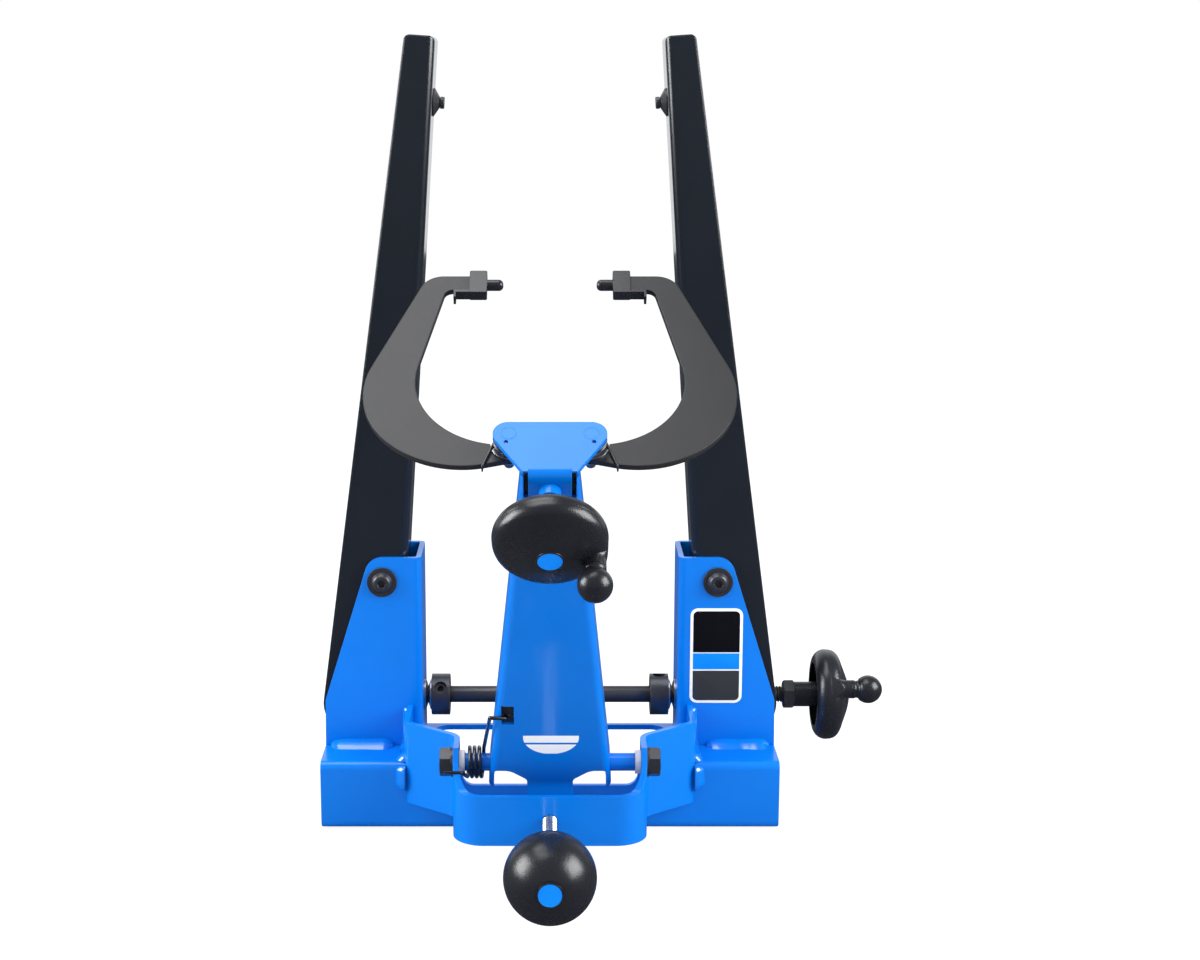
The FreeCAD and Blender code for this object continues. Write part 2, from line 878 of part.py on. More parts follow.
def knob_grip():
    """Turned grip with a ball end, free to spin on its pin."""
    start = post_end + grip_gap
    neck = start + grip_neck
    meet_radius = grip_ball_radius * grip_waist_share
    meet = V(meet_radius, grip_ball_centre - math.sqrt(grip_ball_radius**2 - meet_radius**2), 0)
    waist = V((post_radius + meet_radius) / 2 - grip_waist_pinch, (neck + meet.y) / 2, 0)
    foot, shoulder = V(post_radius, start, 0), V(post_radius, neck, 0)
    apex = V(0, grip_ball_centre + grip_ball_radius, 0)
    edges = [
        Part.LineSegment(V(0, start, 0), foot).toShape(),
        Part.LineSegment(foot, shoulder).toShape(),
        Part.Arc(shoulder, waist, meet).toShape(),
        Part.Arc(meet, V(grip_ball_radius, grip_ball_centre, 0), apex).toShape(),
        Part.LineSegment(apex, V(0, start, 0)).toShape(),
    ]
    grip = turned(edges, V(post_offset, 0, 0), V(0, 0, 1))
    bore_end = V(post_offset, 0, start + grip_pin_reach + seat_gap)
    return grip.cut(rod_between(grip_pin_radius + running_gap, V(post_offset, 0, start), bore_end))


def knob_pin():
    """Pin pressed into the post, on which the grip spins."""
    start = V(post_offset, 0, post_end - grip_pin_depth)
    return rod_between(grip_pin_radius, start, V(post_offset, 0, post_end + grip_gap + grip_pin_reach))


def place_crank(shape):
    """Put a knob piece on the rod's right end, its post towards the front and turned up to its rest."""
    origin = rod_point(jam_nut_start + jam_nut_height + knob_hub_length)
    towards_front = FreeCAD.Rotation(V(0, -1, 0), V(0, 0, -1), V(1, 0, 0), "ZXY")
    turn = towards_front * FreeCAD.Rotation(V(0, 0, 1), -crank_rest)
    shape.Placement = FreeCAD.Placement(origin, turn) * shape.Placement
    return shape


# Caliper arm, built in a frame at its pivot whose Z runs up the arm and whose Y runs to the calipers


def place_on_arm(shape):
    """Lean a shape forward over the arm's pivot."""
    turn = FreeCAD.Rotation(V(1, 0, 0), arm_lean)
    shape.Placement = FreeCAD.Placement(arm_pivot, turn) * shape.Placement
    return shape


def arm_half(height):
    """Half width of the arm at a height above its pivot."""
    return arm_half_at_pivot - arm_taper * height


def arm_section(height, inset, flange, radius):
    """Open-backed section of the arm at a height, as a closed wire moved in by an inset."""
    half = arm_half(height) - inset
    front = -arm_web_front + inset
    corners = [
        (half, -arm_web_front + flange, 0),
        (-half, -arm_web_front + flange, 0),
        (-half, front, radius),
        (half, front, radius),
    ]
    wire = Part.Wire(corner_path(corners, True))
    wire.translate(V(0, 0, height))
    return wire


def arm_channel():
    """Tapered channel of the arm before its cut-outs."""
    low, high = -arm_foot, arm_head_height - arm_sheet - arm_flange_stop
    outer = [
        arm_section(low, 0, arm_flange_low, arm_fold),
        arm_section(high, 0, arm_flange_high, arm_fold),
    ]
    inner = [
        arm_section(height, arm_sheet, arm_flange_low + overrun, arm_fold - arm_sheet)
        for height in (low - overrun, high + overrun)
    ]
    return Part.makeLoft(outer, True, True).cut(Part.makeLoft(inner, True, True))


def head_outline():
    """Outline of the head plate, its rounded corners centred on the studs."""
    back = stud_depth + head_corner
    across, along = stud_half - head_throat_half, stud_depth - head_throat_depth
    side_angle = math.atan2(along, across) - math.asin(head_corner / math.hypot(across, along))
    corner_x = head_throat_half + (back - head_throat_depth) / math.tan(side_angle)
    half = [
        (neck_half, head_throat_depth, 0),
        (head_throat_half, head_throat_depth, 0),
        (corner_x, back, head_corner),
    ]
    left = [(-a, b, radius) for a, b, radius in reversed(half)]
    return [(a, b - arm_web_front, radius) for a, b, radius in half + left]


def caliper_arm():
    """Folded arm: channel, tongue at the foot and head plate at the top, in one sheet."""
    front, back = -arm_web_front, -arm_web_front + arm_sheet
    through_front, through_back = front - overrun, back + (arm_fold - arm_sheet)
    far_back = front + arm_flange_low
    channel = arm_channel()
    low = -arm_foot - overrun
    hem_outer = arm_half(0) - arm_sheet
    hem = [
        (tongue_half, low, 0),
        (tongue_half, web_hem - web_hem_drop, web_hem_drop / 2),
        (web_hem_half, web_hem, web_hem_drop),
        (hem_outer, web_hem, web_hem_drop / 4),
        (hem_outer + arm_taper * web_hem, low, 0),
    ]
    gap_half = tongue_half + overrun
    tongue_gap = rectangle(-gap_half, low, gap_half, -tongue_bend_drop, 0)
    slot_top = arm_head_height + overrun
    slot = rectangle(neck_half, neck_slot_start, neck_slot_half, slot_top, 0)
    window = rectangle(-hook_window_left, hook_window_low, -hook_window_right, hook_window_high, 0)
    web_cuts = [prism(outline, "xz", through_front, through_back) for outline in (
        hem, [(-a, b, radius) for a, b, radius in reversed(hem)], tongue_gap,
        slot, [(-a, b, radius) for a, b, radius in reversed(slot)], window,
    )]
    crown_start = arm_head_height - arm_sheet - arm_flange_stop - neck_bend
    crown = rectangle(-neck_half, crown_start, neck_half, slot_top, 0)
    web_cuts.append(prism(crown, "xz", through_front, through_back))
    foot = [
        (front - overrun, low, 0),
        (far_back + overrun, low, 0),
        (far_back + overrun, 2 * arm_flange_low, 0),
        (far_back, 2 * arm_flange_low, 0),
        (far_back, -arm_foot, arm_flange_low / 2),
        (front + arm_foot_round, -arm_foot, 0),
        (front, -arm_foot, 0),
        (front - overrun, -arm_foot, 0),
    ]
    tube_hole = rod_between(arm_tube_radius, V(-deck_width, 0, 0), V(deck_width, 0, 0))
    screw_hole = rod_between(
        spread_screw_radius + running_gap, spread_axis(through_front), spread_axis(through_back)
    )
    body = channel.cut(web_cuts[0].multiFuse(web_cuts[1:]))
    body = body.cut(prism(foot, "yz", -deck_width, deck_width))
    neck_path = [
        (front, crown_start, 0),
        (front, arm_head_height, neck_bend),
        (front + neck_bend + overrun, arm_head_height, 0),
    ]
    neck = strip_solid(neck_path[::-1], arm_sheet, "yz", -neck_half, neck_half)
    head = prism(head_outline(), "xy", arm_head_height - arm_sheet, arm_head_height)
    head = head.cut(box((-neck_half, front, 0), (neck_half, front + neck_bend, slot_top)))
    head_link = box(
        (-neck_half, front + neck_bend, arm_head_height - arm_sheet),
        (neck_half, front + neck_bend + overrun, arm_head_height),
    )
    down = math.radians(tongue_bend)
    tongue_path = [
        (front, web_hem, 0),
        (front, -tongue_bend_drop, tongue_bend_drop),
        (front - tongue_length * math.sin(down), -tongue_bend_drop - tongue_length * math.cos(down), 0),
    ]
    tongue = strip_solid(tongue_path, arm_sheet, "yz", -tongue_half, tongue_half)
    hole_y = spring_hole_depth + front
    holes = [
        rod_between(spring_hole_radius, V(x, hole_y, crown_start), V(x, hole_y, slot_top))
        for x in (-spring_hole_half, spring_hole_half)
    ]
    arm = fused(body, neck, head_link, head, tongue).cut(tube_hole.multiFuse(holes + [screw_hole]))
    return place_on_arm(arm)


def spread_height():
    """Height of the spread screw up the arm, in the plane of the calipers."""
    return arm_head_height - spread_drop


def screw_boss():
    """Threaded boss on the arm's web for the spread screw."""
    start = V(0, -arm_web_front, spread_height())
    end = start - V(0, spread_boss_height, 0)
    return place_on_arm(ring(spread_boss_radius, spread_screw_radius + running_gap, start, end))


def arm_tube():
    """Pivot tube through the arm's flanges, bored for the two pivot bolts."""
    end = V(arm_tube_half, 0, 0)
    return place_on_arm(ring(arm_tube_radius, arm_bolt_radius + running_gap, -end, end))


def arm_bolts():
    """Pivot bolts through the nose's side walls into the tube."""
    bolts = []
    for side in (-1, 1):
        out = V(side, 0, 0)
        inner = arm_pivot + out * (arm_tube_half - arm_bolt_reach)
        seat = arm_pivot + out * nose_half
        head_start = seat + out * arm_bolt_washer
        head_end = seat + out * arm_bolt_head
        washer = rod_between(arm_bolt_washer_radius, seat, head_start)
        head = hex_nut(arm_bolt_flats, arm_bolt_radius, head_start, head_end)
        shank = rod_between(arm_bolt_radius, inner, head_end)
        bolts.append(fused(shank, washer, head))
    return bolts


def arm_spacers():
    """Nylon spacers between the tube's ends and the nose's side walls."""
    spacers = []
    for side in (-1, 1):
        out = V(side, 0, 0)
        start = arm_pivot + out * (arm_tube_half + seat_gap)
        end = arm_pivot + out * (nose_half - strap - seat_gap)
        spacers.append(ring(arm_spacer_radius, arm_bolt_radius + running_gap, start, end))
    return spacers


# Calipers, built in the arm's frame around the right stud


def caliper_z():
    """Height of the underside of the caliper plates up the arm."""
    return arm_head_height - caliper_drop - caliper_plate


def stud_y():
    """Depth of the studs in the arm's frame."""
    return stud_depth - arm_web_front


def caliper():
    """Right-hand caliper: a bowed plate with a finger and a tail."""
    bow = [
        (0, -caliper_hub_radius, 0),
        (bow_outer_side, -bow_outer_drop, bow_outer_round),
        (finger_shoulder, finger_outer_reach, finger_shoulder_round),
        (finger_end, finger_outer_reach, 0),
        (finger_end, finger_inner_reach, 0),
        (finger_root, finger_inner_reach, finger_root_round),
        (bow_inner_side, bow_inner_rise, bow_inner_round),
        (0, 0, 0),
    ]
    tail = rectangle(-tail_reach, -tail_half_width, 0, tail_half_width, 0)
    top = caliper_plate
    plate_solid = fused(
        prism(bow, "xy", 0, top),
        rod_between(caliper_hub_radius, V(0, 0, 0), V(0, 0, top)),
        prism(tail, "xy", 0, top),
        rod_between(tail_nose_radius, V(-tail_reach, 0, 0), V(-tail_reach, 0, top)),
    )
    bore = rod_between(caliper_bore_radius, V(0, 0, -overrun), V(0, 0, top + overrun))
    plate_solid = plate_solid.cut(bore)
    plate_solid.translate(V(stud_half, stud_y(), caliper_z()))
    return place_on_arm(plate_solid)


def finger_tip():
    """Right-hand moulded tip: block over the finger, bullet nose, and a clip with a hook beneath."""
    finger_middle = (finger_outer_reach + finger_inner_reach) / 2
    half_reach, half_thick = tip_block_reach / 2, tip_block_thick / 2
    mid_z = caliper_plate / 2
    block_outline = rectangle(
        tip_block_inner, finger_middle - half_reach,
        tip_block_outer, finger_middle + half_reach, tip_block_round,
    )
    block = prism(block_outline, "xy", mid_z - half_thick, mid_z + half_thick)
    clip_y = finger_inner_reach - tip_clip_half
    clip_end = tip_block_outer + tip_clip_length
    low_z, high_z = mid_z - tip_clip_half, mid_z + tip_clip_half
    clip = box(
        (tip_block_outer - tip_block_round, clip_y, low_z), (clip_end, clip_y + tip_clip_rise, high_z)
    )
    hook = box(
        (clip_end - tip_hook_thick, clip_y - tip_hook_drop, low_z), (clip_end, clip_y, high_z)
    )
    nose_end = tip_block_inner - tip_nose_length
    nose = [
        (0, 0, 0),
        (tip_nose_radius, 0, 0),
        (tip_nose_radius, tip_nose_length, tip_nose_round),
        (0, tip_nose_length, 0),
    ]
    bullet = turned(corner_path(nose, True), V(tip_block_inner, finger_middle, mid_z), V(-1, 0, 0))
    pocket = box(
        (finger_end, finger_inner_reach, 0), (deck_width, finger_outer_reach, caliper_plate)
    )
    tip = fused(block, clip, hook, bullet).cut(pocket)
    tip.translate(V(stud_half, stud_y(), caliper_z()))
    return place_on_arm(tip)


def stud_point(z):
    """Point on the right stud's axis, at a height up the arm."""
    return V(stud_half, stud_y(), z)


def caliper_stud():
    """Right stud under the head plate, with its spacer and shoulder for the caliper."""
    plate_under = arm_head_height - arm_sheet
    caliper_top = caliper_z() + caliper_plate
    spacer = rod_between(hub_spacer_radius, stud_point(caliper_z() - seat_gap), stud_point(plate_under))
    nut_end = caliper_z() - seat_gap - hub_washer_thick - hub_nut_height
    tail = rod_between(stud_radius, stud_point(nut_end - stud_tail), stud_point(caliper_top))
    return place_on_arm(fused(spacer, tail))


def caliper_washers():
    """Washers above and below the right caliper's hub."""
    top = caliper_z() + caliper_plate + seat_gap
    low = caliper_z() - seat_gap
    thick = hub_washer_thick
    upper_bore, lower_bore = hub_spacer_radius + running_gap, stud_radius + running_gap
    upper = ring(hub_washer_radius, upper_bore, stud_point(top), stud_point(top + thick))
    lower = ring(hub_washer_radius, lower_bore, stud_point(low - thick), stud_point(low))
    return [place_on_arm(upper), place_on_arm(lower)]


def caliper_nut():
    """Lock nut under the right caliper."""
    start = caliper_z() - seat_gap - hub_washer_thick
    end = start - hub_nut_height
    return place_on_arm(hex_nut(hub_nut_flats, stud_radius, stud_point(start), stud_point(end)))


# Spread screw


def pad_face_y():
    """Front face of the pad, where the caliper tails bear on it."""
    return stud_y() - tail_nose_radius - seat_gap


def spread_axis(y):
    """Point on the spread screw's axis, in the arm's frame."""
    return V(0, y, spread_height())


def spread_pad():
    """Pad at the screw's end that pushes the two caliper tails."""
    front = spread_axis(pad_face_y())
    back = spread_axis(pad_face_y() - spread_pad_thick)
    socket_end = spread_axis(pad_face_y() - spread_screw_tip / 2)
    pad = rod_between(spread_pad_radius, back, front)
    socket = rod_between(spread_screw_radius - running_gap, back, socket_end)
    return place_on_arm(pad.cut(socket))


def spread_screw():
    """Screw from the knob through the boss to the pad."""
    start = spread_axis(-arm_web_front - spread_knob_back + knob_rim_depth - knob_wall)
    end = spread_axis(pad_face_y() - spread_pad_thick)
    tip = spread_axis(pad_face_y() - spread_screw_tip / 2 - seat_gap)
    body = rod_between(spread_screw_radius, start, end - V(0, seat_gap, 0))
    spigot = rod_between(spread_screw_radius - 2 * running_gap, end - V(0, seat_gap, 0), tip)
    return place_on_arm(fused(body, spigot))


def place_spread_knob(shape):
    """Put a knob piece on the spread screw, its post to the right and turned down to its rest."""
    origin = spread_axis(-arm_web_front - spread_knob_back)
    to_right = FreeCAD.Rotation(V(1, 0, 0), V(0, 0, 1), V(0, -1, 0), "ZXY")
    turn = to_right * FreeCAD.Rotation(V(0, 0, 1), spread_rest)
    shape.Placement = FreeCAD.Placement(origin, turn) * shape.Placement
    return place_on_arm(shape)


# Height screw


def height_axis(y):
    """Point on the height screw's axis."""
    return V(0, y, height_screw_level)


def pad_centre_y():
    """Centre of the height pad's dome, just clear of the tongue."""
    return arm_pivot.y - height_pad_out


def height_pad():
    """Domed pad at the height screw's end, against the arm's tongue."""
    edge_angle = math.asin(height_pad_radius / height_pad_nose)
    back = V(0, -height_pad_length, 0)
    side_low = V(height_pad_radius, -height_pad_length, 0)
    side_high = V(height_pad_radius, height_pad_nose * math.cos(edge_angle), 0)
    bulge = V(math.sin(edge_angle / 2), math.cos(edge_angle / 2), 0) * height_pad_nose
    apex = V(0, height_pad_nose, 0)
    edges = [
        Part.LineSegment(back, side_low).toShape(),
        Part.LineSegment(side_low, side_high).toShape(),
        Part.Arc(side_high, bulge, apex).toShape(),
        Part.LineSegment(apex, back).toShape(),
    ]
    centre = height_axis(pad_centre_y())
    pad = turned(edges, centre, V(0, 1, 0))
    return pad.cut(rod_between(height_pad_socket, centre + back, centre))


def knob_centre_y():
    """Centre of the height knob's ball."""
    return front_y - nose_reach - height_knob_out


def height_screw():
    """Plated screw through the nose's weld nut, with a spigot in the pad."""
    shoulder = height_axis(pad_centre_y() - height_pad_length - seat_gap)
    end = height_axis(pad_centre_y() - seat_gap)
    body = rod_between(height_screw_radius, height_axis(knob_centre_y()), shoulder)
    spigot = rod_between(height_pad_socket - running_gap, shoulder, end)
    return fused(body, spigot)


def height_knob():
    """Ball knob with a flat front and a short neck."""
    radius, neck = height_knob_radius, height_knob_neck
    neck_meet = V(neck, -math.sqrt(radius**2 - neck**2), 0)
    neck_end = V(neck, -height_knob_neck_out, 0)
    face_radius = math.sqrt(radius**2 - height_knob_flat**2)
    face_edge = V(face_radius, height_knob_flat, 0)
    low, high = V(0, -height_knob_neck_out, 0), V(0, height_knob_flat, 0)
    edges = [
        Part.LineSegment(low, neck_end).toShape(),
        Part.LineSegment(neck_end, neck_meet).toShape(),
        Part.Arc(neck_meet, V(radius, 0, 0), face_edge).toShape(),
        Part.LineSegment(face_edge, high).toShape(),
        Part.LineSegment(high, low).toShape(),
    ]
    ball = turned(edges, height_axis(knob_centre_y()), V(0, -1, 0))
    centre = knob_centre_y()
    neck_out = height_axis(centre + height_knob_neck_out)
    return ball.cut(rod_between(height_screw_radius, height_axis(centre), neck_out))


# Wound springs


def arc_from(start, tangent, end):
    """Arc between two points that leaves the first along a tangent."""
    chord = end - start
    along = V(chord).normalize()
    side = tangent - along * tangent.dot(along)
    angle = tangent.getAngle(along)
    middle = (start + end) * 0.5 + side.normalize() * (chord.Length / 2 * math.tan(angle / 2))
    return Part.Arc(start, middle, end).toShape()


def biarc(start, start_tangent, end, end_tangent):
    """Two arcs that join two points and follow a tangent at each."""
    chord = end - start
    total = start_tangent + end_tangent
    spread = 2 * (1 - start_tangent.dot(end_tangent))
    reach = (math.sqrt(chord.dot(total) ** 2 + spread * chord.dot(chord)) - chord.dot(total)) / spread
    joint = (start + start_tangent * reach + end - end_tangent * reach) * 0.5
    first = arc_from(start, start_tangent, joint)
    second_back = arc_from(end, end_tangent * -1, joint)
    return [first, second_back]


def bent_lead(points, radii):
    """Straight runs through points in space with an arc at each inner point."""
    edges = []
    start = points[0]
    for before, point, after, radius in zip(points, points[1:], points[2:], radii):
        back = (before - point).normalize()
        ahead = (after - point).normalize()
        half_angle = back.getAngle(ahead) / 2
        reach = radius / math.tan(half_angle)
        bisector = (back + ahead).normalize()
        middle = point + bisector * (radius / math.sin(half_angle) - radius)
        edges.append(Part.LineSegment(start, point + back * reach).toShape())
        start = point + ahead * reach
        edges.append(Part.Arc(point + back * reach, middle, start).toShape())
    edges.append(Part.LineSegment(start, points[-1]).toShape())
    return edges


def torsion_spring(name, wire, radius, pitch, full_turns, low_tail, high_tail):
    """Torsion spring wound about Z, upwards and anticlockwise.

    Each tail is (a, b, bend radii, steps): the straight lead from the coil ends at (a, b),
    and the wire then takes each step, rounded by a radius where it turns.
    """
    def touch(tail, side):
        distance = math.hypot(tail[0], tail[1])
        return math.atan2(tail[1], tail[0]) + side * math.acos(radius / distance)

    low_angle, high_angle = touch(low_tail, 1), touch(high_tail, -1)
    sweep = (high_angle - low_angle) % (2 * math.pi) + 2 * math.pi * full_turns
    climb = pitch / (2 * math.pi)
    slope = math.hypot(radius, climb)

    def place(turned_by):
        angle = low_angle + turned_by
        return V(radius * math.cos(angle), radius * math.sin(angle), climb * turned_by)

    def heading(turned_by):
        angle = low_angle + turned_by
        return V(-radius * math.sin(angle), radius * math.cos(angle), climb) * (1 / slope)

    def tail_points(tail, turned_by, sign):
        start = place(turned_by)
        reach = math.sqrt(tail[0] ** 2 + tail[1] ** 2 - radius**2) * slope / radius
        points = [start, start + heading(turned_by) * (sign * reach)]
        for step in tail[3]:
            points.append(points[-1] + V(*step))
        return points

    count = math.ceil(sweep / (math.pi / 2))
    stops = [sweep * index / count for index in range(count + 1)]
    edges = bent_lead(tail_points(low_tail, 0, -1), low_tail[2])
    for first, second in zip(stops, stops[1:]):
        edges += biarc(place(first), heading(first), place(second), heading(second))
    edges += bent_lead(tail_points(high_tail, sweep, 1), high_tail[2])
    path = Part.Wire(Part.__sortEdges__(edges))
    end = tail_points(low_tail, 0, -1)[-1]
    into = (tail_points(low_tail, 0, -1)[-2] - end).normalize()
    section = Part.Wire(Part.makeCircle(wire / 2, end, into))
    spring = path.makePipeShell([section], True, False)
    report_gap(name, path, wire)
    return spring


def report_gap(name, path, wire):
    """Print the least gap between two stretches of a wound wire."""
    count = math.ceil(path.Length / wire)
    points = path.discretize(count)
    apart = math.ceil(count * wire * 4 / path.Length)
    least = min(
        (points[first] - points[second]).Length
        for first in range(count)
        for second in range(first + apart, count)
    )
    print(f"{name}: least gap to itself {least - wire:.2f} mm")


def tilt_spring():
    """Torsion spring on the arm's tube, hooked to the arm and over the nose's left wall."""
    lean = math.radians(arm_lean)
    forward, down = tilt_frame_forward, tilt_frame_drop
    low_a = -forward * math.cos(lean) - down * math.sin(lean)
    low_b = forward * math.sin(lean) - down * math.cos(lean)
    hook_y = -arm_web_front - tilt_hook_forward
    low_tail = (low_a, low_b, [tilt_bend], [(0, 0, -tilt_frame_tail)])
    high_tail = (hook_y, tilt_hook_height, [tilt_bend, tilt_bend], [
        (0, -tilt_hook_drop, tilt_hook_run), (tilt_hook_tail, 0, 0)
    ])
    spring = torsion_spring(
        "tilt_spring", tilt_wire, tilt_coil_radius, tilt_pitch, tilt_turns, low_tail, high_tail
    )
    turn = FreeCAD.Rotation(V(0, 1, 0), V(0, 0, 1), V(1, 0, 0), "ZXY")
    start_x = -tilt_coil_start
    spring.Placement = FreeCAD.Placement(V(start_x, 0, 0), turn) * spring.Placement
    return place_on_arm(spring)


def caliper_spring():
    """Right return spring, from a hole in the head plate to the caliper's outer edge."""
    hole_a, hole_b = spring_hole_half - stud_half, spring_hole_depth - stud_depth
    high_tail = (hole_a, hole_b, [return_bend], [(0, 0, return_hook)])
    low_tail = (return_leg, -return_leg_back, [return_bend], [(0, 0, -return_hook)])
    spring = torsion_spring(
        "caliper_spring", return_wire, return_coil_radius, return_pitch, return_turns,
        low_tail, high_tail,
    )
    washer_top = caliper_z() + caliper_plate + seat_gap + hub_washer_thick
    base = washer_top + return_rise + return_wire / 2
    spring.translate(stud_point(base))
    return place_on_arm(spring)


# The whole stand


def pair(shape):
    """A piece with its mirror image, as one group."""
    pieces = shape if isinstance(shape, list) else [shape]
    return pieces + [mirrored(piece) for piece in pieces]


def sided(name, shape):
    """The same piece on both sides, under two names."""
    return {f"{name}_right": [shape], f"{name}_left": [mirrored(shape)]}


def build():
    """Every piece of the stand by the name of its node, as lists of solids."""
    nodes = {
        "base_deck": [base_deck()],
        "nose_strap": [nose_strap()],
        "height_nut": [height_nut()],
        "pivot_bolts": pair(pivot_bolt()),
        "pivot_washers": pair(pivot_washers()),
        "pivot_nuts": pair(pivot_nut()),
        "pivot_sleeves": pair(pivot_sleeve()),
        "pivot_shims": pair(pivot_shims()),
        "cross_rod": [cross_rod()],
        "rod_collars": rod_collars(),
        "collar_screws": collar_screws(),
        "spring_washers": spring_washers(),
        "crank_jam_nut": [crank_jam_nut()],
        "crank_knob": [place_crank(knob_shell(rod_radius))],
        "crank_grip": [place_crank(knob_grip())],
        "crank_grip_pin": [place_crank(knob_pin())],
        "caliper_arm": [caliper_arm()],
        "arm_tube": [arm_tube()],
        "arm_bolts": arm_bolts(),
        "arm_spacers": arm_spacers(),
        "tilt_spring": [tilt_spring()],
        "screw_boss": [screw_boss()],
        "caliper_studs": pair(caliper_stud()),
        "caliper_washers": pair(caliper_washers()),
        "caliper_nuts": pair(caliper_nut()),
        "spread_pad": [spread_pad()],
        "spread_screw": [spread_screw()],
        "spread_knob": [place_spread_knob(knob_shell(spread_screw_radius))],
        "spread_grip": [place_spread_knob(knob_grip())],
        "spread_grip_pin": [place_spread_knob(knob_pin())],
        "height_pad": [height_pad()],
        "height_screw": [height_screw()],
        "height_knob": [height_knob()],
    }
    for name, shape in (
        ("bracket", bracket()),
        ("upright", upright()),
        ("axle_cone", axle_cone()),
        ("cone_nut", cone_nut()),
        ("trunnion", trunnion()),
        ("caliper", caliper()),
        ("finger_tip", finger_tip()),
        ("caliper_spring", caliper_spring()),
    ):
        nodes.update(sided(name, shape))
    return nodes


def main():
    """Write one STEP file for each node."""
    os.makedirs("parts", exist_ok=True)
    for name, pieces in build().items():
        shape = pieces[0] if len(pieces) == 1 else Part.makeCompound(pieces)
        shape.exportStep(f"parts/{name}.step")


main()
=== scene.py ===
"""Looks of the bench truing stand: finishes, threads, welds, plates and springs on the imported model."""

from __future__ import annotations

import logging
import math
import sys
from dataclasses import dataclass
from enum import Enum
from typing import Callable, Iterable, Sequence

import bpy
from mathutils import Matrix, Vector, noise

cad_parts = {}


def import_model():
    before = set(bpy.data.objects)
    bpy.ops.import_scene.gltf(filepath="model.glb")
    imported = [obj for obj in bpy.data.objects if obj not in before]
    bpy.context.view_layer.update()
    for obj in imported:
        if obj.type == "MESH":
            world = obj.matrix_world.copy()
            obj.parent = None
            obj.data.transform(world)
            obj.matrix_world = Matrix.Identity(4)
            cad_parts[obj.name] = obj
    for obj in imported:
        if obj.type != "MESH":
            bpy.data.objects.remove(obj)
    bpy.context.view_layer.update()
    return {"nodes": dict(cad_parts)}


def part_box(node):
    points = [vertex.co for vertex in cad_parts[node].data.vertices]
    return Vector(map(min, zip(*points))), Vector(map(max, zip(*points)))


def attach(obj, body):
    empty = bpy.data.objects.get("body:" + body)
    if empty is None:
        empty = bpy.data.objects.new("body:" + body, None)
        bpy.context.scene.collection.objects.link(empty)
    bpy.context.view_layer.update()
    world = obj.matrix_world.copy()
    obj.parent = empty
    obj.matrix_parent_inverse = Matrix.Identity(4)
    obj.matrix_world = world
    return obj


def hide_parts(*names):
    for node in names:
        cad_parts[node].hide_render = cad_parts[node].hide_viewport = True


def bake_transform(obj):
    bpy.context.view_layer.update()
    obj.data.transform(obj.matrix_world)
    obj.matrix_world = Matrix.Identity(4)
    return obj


LOG = logging.getLogger("truing_stand")
MM = 0.001

FULL_TURN = 2 * math.pi
ARC_STEPS = 6  # Parts of each rounded corner and bend.
NEAR_AXIS = 0.01  # Least radius of a turned ring, which closes the end.
CREASE = 35.0  # Degrees above which an edge stays sharp.
SHARPEST = 0.3  # Least cosine at a corner that moves inwards, so that it can't shoot out.

Colour = tuple[float, float, float]
Place = tuple[float, float, float]
Corner = tuple[float, float, float]
ThreadForm = tuple[float, float, float]
Flat = tuple[float, float]
Nodes = dict[str, bpy.types.Object]


# Shader wiring


class Signal:
    """A shader socket on which Python's operators add maths nodes."""

    def __init__(self, bench: Bench, socket: bpy.types.NodeSocket) -> None:
        """Keeps the socket with the bench that wires it."""
        self.bench = bench
        self.socket = socket

    def maths(self, operation: str, first: Signal | float, second: Signal | float = 0.0) -> Signal:
        """Result of one maths node on two values."""
        return self.bench.add("ShaderNodeMath", {"operation": operation}, {0: first, 1: second})

    def __add__(self, other: Signal | float) -> Signal:
        """Sum with a value or signal."""
        return self.maths("ADD", self, other)

    __radd__ = __add__

    def __sub__(self, other: Signal | float) -> Signal:
        """This signal less another."""
        return self.maths("SUBTRACT", self, other)

    def __rsub__(self, other: Signal | float) -> Signal:
        """A value less this signal."""
        return self.maths("SUBTRACT", other, self)

    def __mul__(self, other: Signal | float) -> Signal:
        """Product with a value or signal."""
        return self.maths("MULTIPLY", self, other)

    __rmul__ = __mul__

    def between(self, low: float, high: float) -> Signal:
        """Smooth step of this signal, 0 at low and 1 at high."""
        settings = {"interpolation_type": "SMOOTHSTEP"}
        return self.bench.add("ShaderNodeMapRange", settings, {0: self, 1: low, 2: high, 3: 0.0, 4: 1.0})


Value = Signal | float | tuple


class Ray(Enum):
    """Kinds of light path, with their outputs on the light path node."""

    CAMERA = 0
    GLOSSY = 3
    TRANSMISSION = 6


